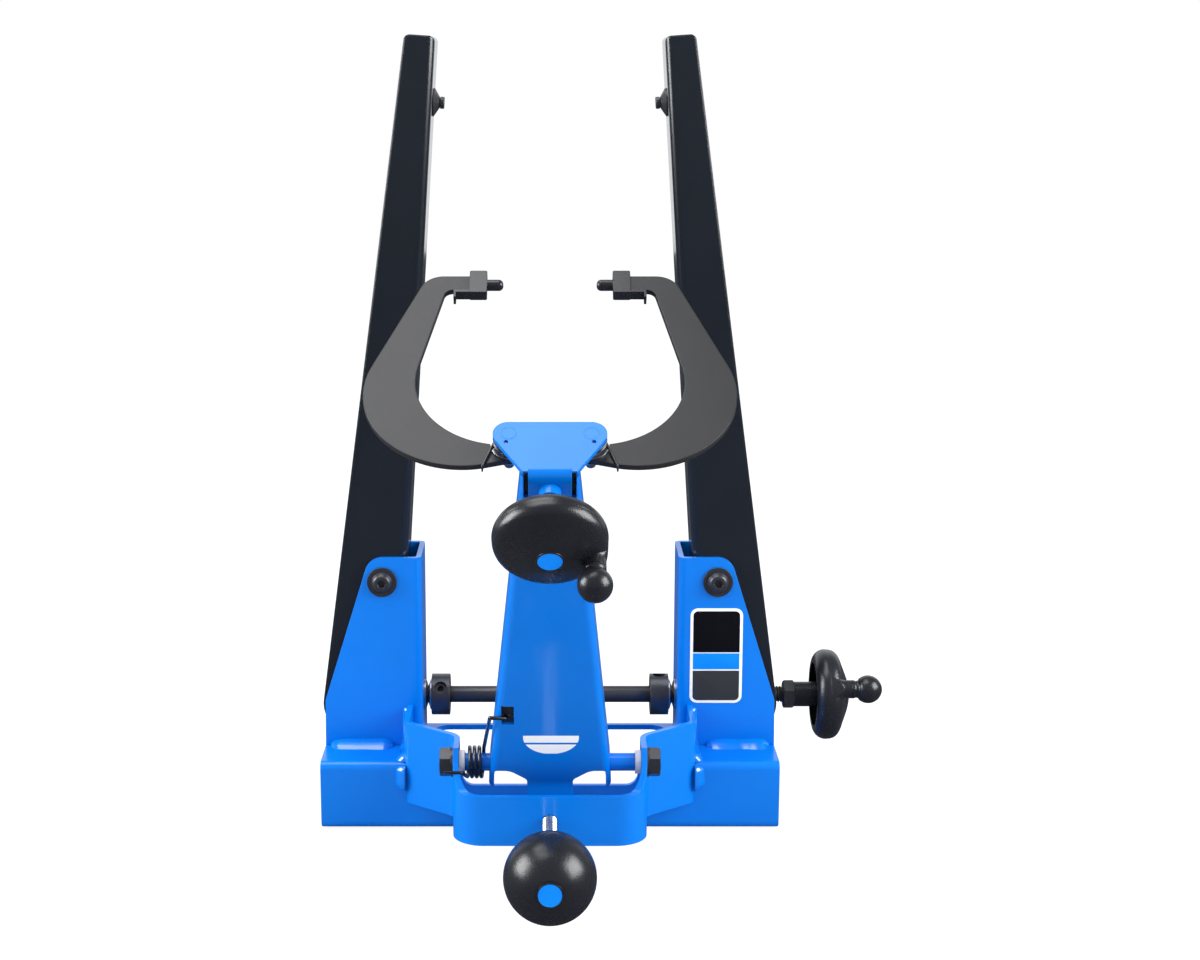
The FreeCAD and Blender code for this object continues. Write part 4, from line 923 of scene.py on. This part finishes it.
@dataclass
class HandKnob:
    """Domed knob with a spinning grip.

    Attributes:
        name: Start of its pieces' names.
        seat: Its open back plane, with Z through the dome and X to the post.
        grip_body: Body of the grip.
        post: Distance of the post from the axis.
        ball: Height of the grip's ball.
        ball_radius: Radius of the ball.
    """

    name: str
    seat: Seat
    grip_body: str
    post: float = 23.9
    ball: float = 33.5
    ball_radius: float = 9.3

    # Radius, height over the ball's end and corner radius.
    EYE = ((2.6, -1.2, 0), (2.6, -0.2, 0.3), (1.7, -0.15, 0.2), (1.3, -0.9, 0.2), (0.0, -1.0, 0))
    EYE_SIDES = 28

    def eye(self) -> None:
        """Moulded dimple with a raised lip, at the far end of the grip's ball."""
        top = self.ball + self.ball_radius
        profile = rounded([(radius, top + up, bend) for radius, up, bend in self.EYE])
        draft = Draft().turn(self.seat.moved(self.post, 0, 0), profile, self.EYE_SIDES)
        add(draft, f"{self.name}_grip_eye", self.grip_body, Slot.BLACK_PLASTIC, (TIP_PLASTIC,))

    def make(self, nodes: Nodes) -> None:
        """Dresses the nodes and adds the pieces."""
        dress(nodes, KNOB_PLASTIC, f"{self.name}_knob", f"{self.name}_grip")
        dress(nodes, ZINC, f"{self.name}_grip_pin")
        self.eye()


# Distance out from the badge's radius, and height over the knob.
BADGE_RIM = ((0.9, -0.6), (0.7, 0.25), (0.0, 0.4), (-0.1, 0.2), (-0.4, 0.15), (-0.5, -0.6))
BADGE_DISC = ((-0.2, -0.5), (-0.2, 0.22))
BADGE_RINGS = (0.75, 0.5, 0.25, 0.0)  # Shares of the radius.
BADGE_TOP = 0.24


def badge(name: str, seat: Seat, radius: float, body: str, crown: float) -> None:
    """Plain round badge with a dark rim, on a knob.

    Args:
        name: Name of the piece.
        seat: Centre of the badge on the knob, with Z outwards.
        radius: Radius of the badge.
        body: Body that carries it.
        crown: Radius of the knob's dome under it, or 0 for a flat face.
    """
    def drop(reach: float) -> float:
        """How far the dome has fallen at a distance from the axis."""
        return crown - math.sqrt(crown**2 - reach**2) if crown else 0.0

    rim, disc = (
        [(radius + out, up - drop(radius + max(0.0, out))) for out, up in profile]
        for profile in (BADGE_RIM, BADGE_DISC)
    )
    disc += [(radius * share, BADGE_TOP - drop(radius * share)) for share in BADGE_RINGS]
    draft = Draft().turn(seat, rim).turn(seat, disc, mark=1)
    add(draft, name, body, Slot.BLACK_PLASTIC, (TIP_PLASTIC, FOIL_BLUE))


@dataclass
class CrossRod:
    """Cross rod with its two threads, collars and crank knob.

    Attributes:
        axis: Depth and height of the rod's axis.
        knob_x: Back plane of the crank knob.
        radius: Radius of the rod.
        root: Radius at the bottom of its threads.
        pitch: Rise of the thread in a turn.
        thread_start: Where each thread starts from the middle.
        left_end: Left end from the middle.
        thread_end: Where the right thread ends.
        right_end: Right end from the middle.
        rest: How far the crank's post is turned up from the front, in degrees.
    """

    axis: Flat = (17.9, 73.0)
    knob_x: float = 178.7
    radius: float = 5.55
    root: float = 4.75
    pitch: float = 1.814
    thread_start: float = 92.0
    left_end: float = 134.0
    thread_end: float = 158.4
    right_end: float = 184.0
    rest: float = 25.0

    def seat(self, x: float, degrees: float) -> Seat:
        """Seat on the rod's axis, with Z along it and X turned up from the front by some degrees."""
        turned = math.radians(degrees)
        return WORLD.moved(x, *self.axis).facing((0, -math.cos(turned), math.sin(turned)), (1, 0, 0))

    def rod(self) -> None:
        """Rod with a plain middle and a thread of each hand."""
        seat, start, end = self.seat(0.0, 0.0), self.thread_start, self.thread_end
        crest, root, run = self.radius, self.root, self.pitch
        draft = Draft()
        draft.turn(seat, [(root, -start - run), (crest, -start), (crest, start), (root, start + run)])
        draft.turn(seat, [(root, end - run), (crest, end), (crest, self.right_end)])
        draft.thread(seat.moved(0, 0, start), crest, root, run, end - start)
        draft.thread(seat.moved(0, 0, -self.left_end), crest, root, run, self.left_end - start, hand=-1)
        add(draft, "threaded_rod", "crank", Slot.BLACK_OXIDE, replaces=("cross_rod",))

    def make(self, nodes: Nodes) -> None:
        """Dresses the nodes and adds the pieces."""
        dress(nodes, BLACK_OXIDE, "cross_rod", "rod_collars", "collar_screws", "crank_jam_nut")
        dress(nodes, ZINC, "spring_washers")
        self.rod()
        HandKnob("crank", self.seat(self.knob_x, self.rest), "crank_grip").make(nodes)


@dataclass
class HeightDrive:
    """Height screw with its ball knob and pad.

    Attributes:
        level: Height of the screw.
        shoulder_y: Where the screw steps down to its spigot.
        spigot_y: End of the spigot.
        neck_y: Where the thread ends inside the knob's neck.
        radius: Radius over the thread.
        root: Radius at the bottom of the thread.
        pitch: Rise of the thread in a turn.
        spigot: Radius of the spigot.
        badge_radius: Radius of the badge on the knob.
        overlap: How far the thread and its plain ends reach into each other.
        buried: Length of the plain end inside the knob.
        sides: Facets around the screw.
    """

    level: float = 34.0
    shoulder_y: float = -109.74
    spigot_y: float = -103.74
    neck_y: float = -185.0
    radius: float = 4.75
    root: float = 4.15
    pitch: float = 1.5875
    spigot: float = 2.45
    badge_radius: float = 7.0
    overlap: float = 0.5
    buried: float = 20.0
    sides: int = 28

    def screw(self) -> None:
        """Plated screw with its thread, from the knob to the pad."""
        seat = WORLD.moved(0, self.shoulder_y, self.level).front()
        length = self.shoulder_y - self.neck_y
        draft = Draft().thread(seat, self.radius, self.root, self.pitch, length, sides=self.sides)
        ends = (
            (self.spigot, self.overlap, self.shoulder_y - self.spigot_y),
            (self.root, length - self.overlap, length + self.buried),
        )
        for radius, low, high in ends:
            draft.turn(seat, [(radius, low), (radius, high)], self.sides)
        add(draft, "threaded_height_screw", "height_drive", Slot.CHROME_PLATE, replaces=("height_screw",))

    def make(self, nodes: Nodes) -> None:
        """Dresses the nodes and adds the pieces."""
        dress(nodes, KNOB_PLASTIC, "height_knob")
        dress(nodes, CHROME, "height_screw")
        dress(nodes, BLACK_OXIDE, "height_pad")
        self.screw()
        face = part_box("height_knob")[0][1] / MM
        seat = WORLD.moved(0, face, self.level).front()
        badge("height_badge", seat, self.badge_radius, "height_drive", 0.0)


@dataclass
class CaliperArm:
    """Folded arm with its tube, label, boss and studs.

    Attributes:
        web_y: Front face of the web in the arm's frame.
        label_up: Centre of the label up the arm.
        label_radius: Radius of the label.
        window_low: Lower left corner of the spring's window.
        window_high: Its upper right corner.
        stud: Right caliper stud, across and through.
        head_up: Top of the head plate.
        knob_y: Back plane of the spread knob.
        screw_up: Height of the spread screw.
        knob_height: Height of the knob's dome.
        knob_crown: Radius of the dome at its top.
        badge_radius: Radius of the badge on the knob.
        rest: How far the knob's post is turned up from the right, in degrees.
        sheet: Depth behind the web's front face at which the inserts lie.
        grommet_rim: How far the grommet reaches past the window.
        grommet_gap: Gap between the grommet's raised part and the window.
    """

    web_y: float = -12.0
    label_up: float = 43.0
    label_radius: float = 17.0
    window_low: Flat = (-29.2, 56.6)
    window_high: Flat = (-21.7, 74.7)
    stud: Flat = (22.1, 19.0)
    head_up: float = 277.7
    knob_y: float = -37.0
    screw_up: float = 265.7
    knob_height: float = 24.0
    knob_crown: float = 38.0
    badge_radius: float = 6.7
    rest: float = -16.0
    sheet: float = 3.0
    grommet_rim: float = 1.6
    grommet_gap: float = 0.05

    LABEL_OFF_CENTRE = 0.6
    LABEL_BANDS = ((-0.98, -0.42), (-0.3, 0.12))  # Cuts as shares of the radius.
    LABEL_STEPS = 12  # Parts of a band's rounded end.
    # Outline of the black strips behind the slots; they are painted shade for the dark seen through the
    # slots.
    SLOT_SHADE_OUTLINE = ((11.0, 255.0), (14.2, 255.0), (14.2, 264.0), (13.9, 276.4), (11.0, 276.4))
    STUD_RING = (
        (4.4, -0.4), (4.4, -0.02), (4.25, 0.06), (4.1, 0.07), (3.95, 0.03), (3.85, -0.05), (0.0, -0.06),
    )
    STUD_SIDES = 36

    def label(self) -> None:
        """Round bare label: plain white bands on the arm's blue."""
        seat = ARM.moved(self.LABEL_OFF_CENTRE, self.web_y, self.label_up).front()
        draft = Draft()
        for low, high in self.LABEL_BANDS:
            draft.slab(seat, self.band(low, high), 0.0, 0.12, bevel=0.04)
        add(draft, "arm_label", "arm", Slot.BLUE_PAINT, (DECAL_WHITE,))

    def grommet_and_shade(self) -> None:
        """Black insert behind the window, in which the spring's end sits; its black is also painted shade,
        standing for the shade seen through the window.
        """
        seat = ARM.moved(0, self.web_y + self.sheet, 0).front()
        draft = Draft()
        draft.slab(seat, self.window(self.grommet_rim, 1.2), -2.6, -0.05, bevel=0.3)
        draft.slab(seat, self.window(-self.grommet_gap, 0.3), -0.2, 1.1, bevel=0.2)
        # Black partly as painted shade inside the window, besides seating the spring's end.
        add(draft, "window_grommet", "arm", Slot.BLACK_PLASTIC, (TIP_PLASTIC,))

    def window(self, grow: float, radius: float) -> list[Flat]:
        """Outline of the spring's window, grown on all sides."""
        (left, low), (right, high) = self.window_low, self.window_high
        return rectangle(left - grow, low - grow, right + grow, high + grow, radius)

    def slot_shade_strips(self) -> None:
        """Black strips behind the two slots beside the head's neck: painted shade, dark sheets that stand
        for the shade seen through the slots.
        """
        seat = ARM.moved(0, self.web_y + self.sheet + 0.05, 0).front()
        strip = Draft().slab(seat, self.SLOT_SHADE_OUTLINE, -1.6, 0.0, bevel=0.3)
        for side in Side:
            add(strip.on(side), f"slot_shade_strip_{side.value}", "arm", Slot.BLACK_PLASTIC, (TIP_PLASTIC,))

    def stud_marks(self) -> None:
        """Flush ends of the two caliper studs, painted over with the head plate."""
        ring = Draft().turn(ARM.moved(*self.stud, self.head_up), self.STUD_RING, self.STUD_SIDES)
        for side in Side:
            add(ring.on(side), f"stud_mark_{side.value}", "arm", Slot.BLUE_PAINT, (BLUE,))

    def band(self, low: float, high: float) -> list[Flat]:
        """Slice of the round label.

        Args:
            low: Lower cut as a share of the radius.
            high: Upper cut as a share of the radius.

        Returns:
            Its outline, anticlockwise.
        """
        radius, count = self.label_radius, self.LABEL_STEPS
        start, sweep = math.asin(low), math.asin(high) - math.asin(low)
        angles = [start + sweep * step / count for step in range(count + 1)]
        outline = [(radius * math.cos(angle), radius * math.sin(angle)) for angle in angles]
        return outline + [(-a, b) for a, b in reversed(outline)]

    def make(self, nodes: Nodes) -> None:
        """Dresses the nodes and adds the pieces."""
        dress(nodes, BLUE, "caliper_arm", "arm_tube", "screw_boss")
        dress(nodes, BLACK_OXIDE, "arm_bolts")
        dress(nodes, NYLON, "arm_spacers")
        dress(nodes, ZINC, "spread_screw")
        dress(nodes, TIP_PLASTIC, "spread_pad")
        self.label()
        self.grommet_and_shade()
        self.slot_shade_strips()
        self.stud_marks()
        rest = math.radians(self.rest)
        place = ARM.moved(0, self.knob_y, self.screw_up)
        seat = place.facing((math.cos(rest), 0, math.sin(rest)), (0, -1, 0))
        HandKnob("spread", seat, "spread_grip").make(nodes)
        crown = seat.moved(0, 0, self.knob_height)
        badge("spread_badge", crown, self.badge_radius, "spread_drive", self.knob_crown)


@dataclass(frozen=True)
class WireEnd:
    """One end of a wound spring.

    Attributes:
        touch: Where the straight lead from the coil ends, across the coil's axis.
        steps: Runs that the wire then takes.
        bend: Radius of its bends.
    """

    touch: Flat
    steps: tuple[Place, ...]
    bend: float


@dataclass(frozen=True)
class Coil:
    """Turns of a wound spring.

    Attributes:
        wire: Wire diameter.
        radius: Radius of the wire's centreline.
        pitch: Rise in a turn.
        turns: Whole turns.
    """

    wire: float
    radius: float
    pitch: float
    turns: int


@dataclass
class TorsionSpring:
    """Wound spring about a seat's Z.

    Attributes:
        name: Name of the piece.
        seat: Centre of the coil's first turn.
        coil: Its turns.
        low: End at the coil's start.
        high: End at the coil's finish.
        finish: Finish of the wire.
    """

    name: str
    seat: Seat
    coil: Coil
    low: WireEnd
    high: WireEnd
    finish: Finish = SPRING_WIRE

    COIL_STEP = 9  # Degrees between the coil's points.
    CUT_SHARE, CUT_SLOPE = 0.6, 400  # Share of the radius at the cut ends, and how fast it fills.

    def angle(self, end: WireEnd, side: int) -> float:
        """Angle at which an end's lead leaves the coil."""
        across, up = end.touch
        return math.atan2(up, across) + side * math.acos(self.coil.radius / math.hypot(across, up))

    def path(self) -> list[Vector]:
        """Centreline of the wire from the low end to the high one."""
        first, last = self.angle(self.low, 1), self.angle(self.high, -1)
        radius, climb = self.coil.radius, self.coil.pitch / FULL_TURN
        sweep = (last - first) % FULL_TURN + FULL_TURN * self.coil.turns
        count = round(sweep / math.radians(self.COIL_STEP))

        def place(turned: float) -> Vector:
            """Point of the coil."""
            angle = first + turned
            return Vector((radius * math.cos(angle), radius * math.sin(angle), climb * turned))

        def lead(end: WireEnd, turned: float, sign: int) -> list[Vector]:
            """Points of one end after the coil, outwards."""
            across, up = end.touch
            reach = math.sqrt(across**2 + up**2 - radius**2)
            points = [Vector((across, up, climb * (turned + sign * reach / radius)))]
            for step in end.steps:
                points.append(points[-1] + Vector(step))
            return points

        low = filleted([place(0.0)] + lead(self.low, 0.0, -1), self.low.bend)[1:]
        high = filleted([place(sweep)] + lead(self.high, sweep, 1), self.high.bend)[1:]
        coil = [place(sweep * step / count) for step in range(count + 1)]
        return [self.seat.at(*point) for point in low[::-1] + coil + high]

    def make(self, still: str, moving: str, replaces: str, side: Side = Side.RIGHT) -> None:
        """Adds the spring as one baked piece; the two bodies are only named in the log.

        Args:
            still: Body of the low end, only named in the log.
            moving: Body of the high end, only named in the log.
            replaces: Node that it stands for.
            side: The left gets the mirror image.
        """
        path = self.path()
        reach = self.coil.wire / 2

        def radius(share: float) -> float:
            """Radius of the wire, closed at its cut ends."""
            return reach * min(1.0, self.CUT_SHARE + self.CUT_SLOPE * min(share, 1 - share))

        draft = Draft().tube(path, radius).on(side)
        start, end = self.seat.at(0, 0, 0), self.seat.at(0, 0, self.coil.pitch * (self.coil.turns + 0.5))
        if side is Side.LEFT:
            start.x, end.x = -start.x, -end.x
        made = draft.piece(self.name, (self.finish,))
        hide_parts(replaces)
        tuple(start * MM)
        tuple(end * MM)
        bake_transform(made)
        LOG.info("spring %s between %s and %s", self.name, still, moving)


@dataclass
class TiltSpring:
    """The arm's spring on its tube, between the nose's left wall and a window in the arm.

    Attributes:
        start_x: Where the coil starts along the tube.
        forward: How far the lower end reaches to the front.
        drop: How far it drops below the tube's axis.
        tail: How far it hooks out over the wall.
        hook: Depth and height of the bend beside the arm's window.
        hook_steps: Runs from that bend into the window.
        bend: Radius of the bends at both ends.
        coil: Its turns.
    """

    start_x: float = -52.0
    forward: float = 17.9
    drop: float = 0.5
    tail: float = 13.2
    hook: Flat = (-14.2, 69.5)
    hook_steps: tuple[Place, ...] = ((0.0, -7.5, 13.0), (6.0, -1.5, 0.8))
    bend: float = 3.2
    coil: Coil = Coil(2.4, 9.2, 2.97, 3)

    def make(self, nodes: Nodes) -> None:
        """Adds the spring."""
        lean = math.radians(ARM_LEAN)
        low_a = -self.forward * math.cos(lean) - self.drop * math.sin(lean)
        low_b = self.forward * math.sin(lean) - self.drop * math.cos(lean)
        low = WireEnd((low_a, low_b), ((0, 0, -self.tail),), self.bend)
        high = WireEnd(self.hook, self.hook_steps, self.bend)
        seat = Seat(ARM.at(self.start_x, 0, 0), ARM.y_axis, ARM.z_axis, ARM.x_axis)
        spring = TorsionSpring("arm_spring", seat, self.coil, low, high)
        spring.make("stand", "arm", "tilt_spring")


@dataclass
class CaliperPair:
    """Calipers with their moulded tips, return springs and studs.

    Attributes:
        stud: Right stud in the arm's frame, across and through.
        spring_base: Height of the return spring's first turn.
        coil: Its turns.
        low: End that hooks behind the caliper.
        high: End in the head plate's hole.
        stud_end: Height of the studs' lower ends.
        thread: Outer radius, root radius and pitch of the studs' threads.
        thread_length: Length of those threads.
    """

    stud: Flat = (22.1, 19.0)
    spring_base: float = 269.45
    coil: Coil = Coil(1.4, 7.9, 1.56, 2)
    low: WireEnd = WireEnd((14.0, -15.4), ((0, 0, -4.4),), 1.6)
    high: WireEnd = WireEnd((1.9, -8.3), ((-0.6, 2.2, 0.1), (0, 0, 3.0)), 0.75)
    stud_end: float = 253.0
    thread: ThreadForm = (2.75, 2.3, 0.8)
    thread_length: float = 5.4

    def make(self, nodes: Nodes) -> None:
        """Dresses the nodes and adds the pieces."""
        dress(nodes, CALIPER_BLACK, "caliper_left", "caliper_right")
        dress(nodes, TIP_PLASTIC, "finger_tip_left", "finger_tip_right")
        dress(nodes, ZINC, "caliper_studs", "caliper_washers", "caliper_nuts")
        seat = ARM.moved(*self.stud, self.spring_base)
        tail = ARM.moved(*self.stud, self.stud_end)
        thread = Draft().thread(tail, *self.thread, length=self.thread_length)
        for side in Side:
            name = f"return_spring_{side.value}"
            spring = TorsionSpring(name, seat, self.coil, self.low, self.high, GREY_WIRE)
            spring.make(f"{side.value}_caliper", "arm", f"caliper_spring_{side.value}", side)
            add(thread.on(side), f"stud_thread_{side.value}", "arm", Slot.BLACK_OXIDE)


# Studio


@dataclass
class Studio:
    """Camera, lamps, white surroundings and a pale floor.

    Attributes:
        camera_at: Camera in metres.
        camera_down: How far it looks down, in degrees.
        sensor: Width of the sensor in millimetres.
        lens: Focal length in millimetres.
        shift: Sideways shift of the picture.
        aim: Point in metres at which the lamps look.
        reach: Half the floor's width in millimetres.
        gap: How far the floor lies below the feet, in millimetres.
    """

    camera_at: Place = (0.0, -1.2852, 0.484)
    camera_down: float = 11.4
    sensor: float = 36.0
    lens: float = 60.0
    shift: float = 0.041667
    aim: Place = (0.0, -0.05, 0.2)
    reach: float = 4000.0
    gap: float = 0.4

    WHITE = (1.0, 1.0, 1.0)
    LAMPS = {
        "left_box": ((-1.4, -0.25, 0.72), (0.95, 0.85), 27.0),
        "right_box": ((1.25, -0.5, 0.8), (1.0, 0.9), 27.0),
        "top_box": ((-0.35, -0.1, 1.7), (1.1, 1.0), 13.0),
    }

    def camera(self) -> None:
        """Sets the camera where the photograph was taken."""
        data = bpy.data.cameras.new("view")
        data.sensor_width, data.lens, data.shift_x = self.sensor, self.lens, self.shift
        seen = bpy.data.objects.new("view", data)
        seen.location = self.camera_at
        seen.rotation_euler = (math.radians(90 - self.camera_down), 0, 0)
        bpy.context.scene.collection.objects.link(seen)
        bpy.context.scene.camera = seen

    def lamp(self, name: str, place: Place, size: Flat, power: float) -> None:
        """Adds a soft box that looks at the stand's middle.

        Args:
            name: Name of the lamp.
            place: Its centre in metres.
            size: Width and height in metres.
            power: Power in watts.
        """
        data = bpy.data.lights.new(name, "AREA")
        data.shape, data.size, data.size_y, data.energy = "RECTANGLE", *size, power
        made = bpy.data.objects.new(name, data)
        made.location = place
        aim = Vector(self.aim) - Vector(place)
        made.rotation_euler = aim.to_track_quat("-Z", "Y").to_euler()
        bpy.context.scene.collection.objects.link(made)

    def surroundings(self) -> None:
        """White for the camera and in reflections, with a dark room behind the camera."""
        world = bpy.data.worlds.new("studio")
        bpy.context.scene.world = world
        world.use_nodes = True
        bench = Bench(world.node_tree)
        where = bench.add("ShaderNodeTexCoord", output=0)
        back = bench.add("ShaderNodeSeparateXYZ", {}, {0: where}, 1)
        above = bench.add("ShaderNodeSeparateXYZ", {}, {0: where}, 2)
        walls = bench.mix(above.between(-0.3, 0.3), (0.03, 0.035, 0.045), (0.2, 0.22, 0.26))
        room = bench.mix(back.between(0.55, 0.85), walls, (0.97, 0.98, 1.0))
        soft = bench.mix(bench.ray(Ray.GLOSSY), (0.78, 0.79, 0.81), room)
        clear = bench.mix(bench.ray(Ray.TRANSMISSION), soft, self.WHITE)
        seen = bench.mix(bench.ray(Ray.CAMERA), clear, self.WHITE)
        light = bench.add("ShaderNodeBackground", {}, {"Color": seen, "Strength": 1.0})
        bench.add("ShaderNodeOutputWorld", {}, {"Surface": light})

    def floor(self) -> None:
        """Pale floor that stays near white and keeps a soft shadow; to glossy rays it is near black, painted
        shade in the stand's reflections of the floor.
        """
        reach = self.reach
        square = [(-reach, -reach), (reach, -reach), (reach, reach), (-reach, reach)]
        draft = Draft().slab(WORLD.moved(0, 0, -self.gap), square, -1.0, 0.0)
        mesh = bpy.data.meshes.new("floor")
        mesh.from_pydata([point * MM for point in draft.points], [], draft.faces)
        floor = bpy.data.objects.new("floor", mesh)
        bpy.context.scene.collection.objects.link(floor)
        paper = bpy.data.materials.new("paper")
        paper.use_nodes = True
        bench = Bench(paper.node_tree)
        tone = bench.mix(bench.grain(3.0), (0.6, 0.6, 0.61), (0.63, 0.63, 0.64))
        # Near black to glossy rays: painted shade in what the stand reflects of the floor beneath it.
        tone = bench.mix(bench.ray(Ray.GLOSSY), tone, (0.05, 0.055, 0.07))
        matt = bench.add("ShaderNodeBsdfDiffuse", {}, {"Color": tone})
        glow = bench.add("ShaderNodeEmission", {}, {"Color": self.WHITE, "Strength": 1.25})
        mixed = bench.add("ShaderNodeMixShader", {}, {0: bench.ray(Ray.CAMERA) * 0.7, 1: matt, 2: glow})
        bench.add("ShaderNodeOutputMaterial", {}, {"Surface": mixed})
        mesh.materials.append(paper)

    def make(self) -> None:
        """Sets up everything around the stand."""
        self.camera()
        self.surroundings()
        self.floor()
        for name, (place, size, power) in self.LAMPS.items():
            self.lamp(name, place, size, power)
        bpy.context.scene.view_settings.view_transform = "Standard"


def corners(bounds: Iterable[Sequence[float]]) -> list[list[float]]:
    """Two corners as plain lists of numbers."""
    return [[float(value) for value in corner] for corner in bounds]


def main() -> None:
    """Builds the stand's looks in order."""
    logging.basicConfig(level=logging.INFO, format="%(message)s", stream=sys.stdout)
    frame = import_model()
    nodes = frame["nodes"]
    Studio().make()
    for assembly in (Weldment, UprightPair, CrossRod, HeightDrive, CaliperArm, TiltSpring, CaliperPair):
        assembly().make(nodes)


if __name__ == "__main__":
    main()
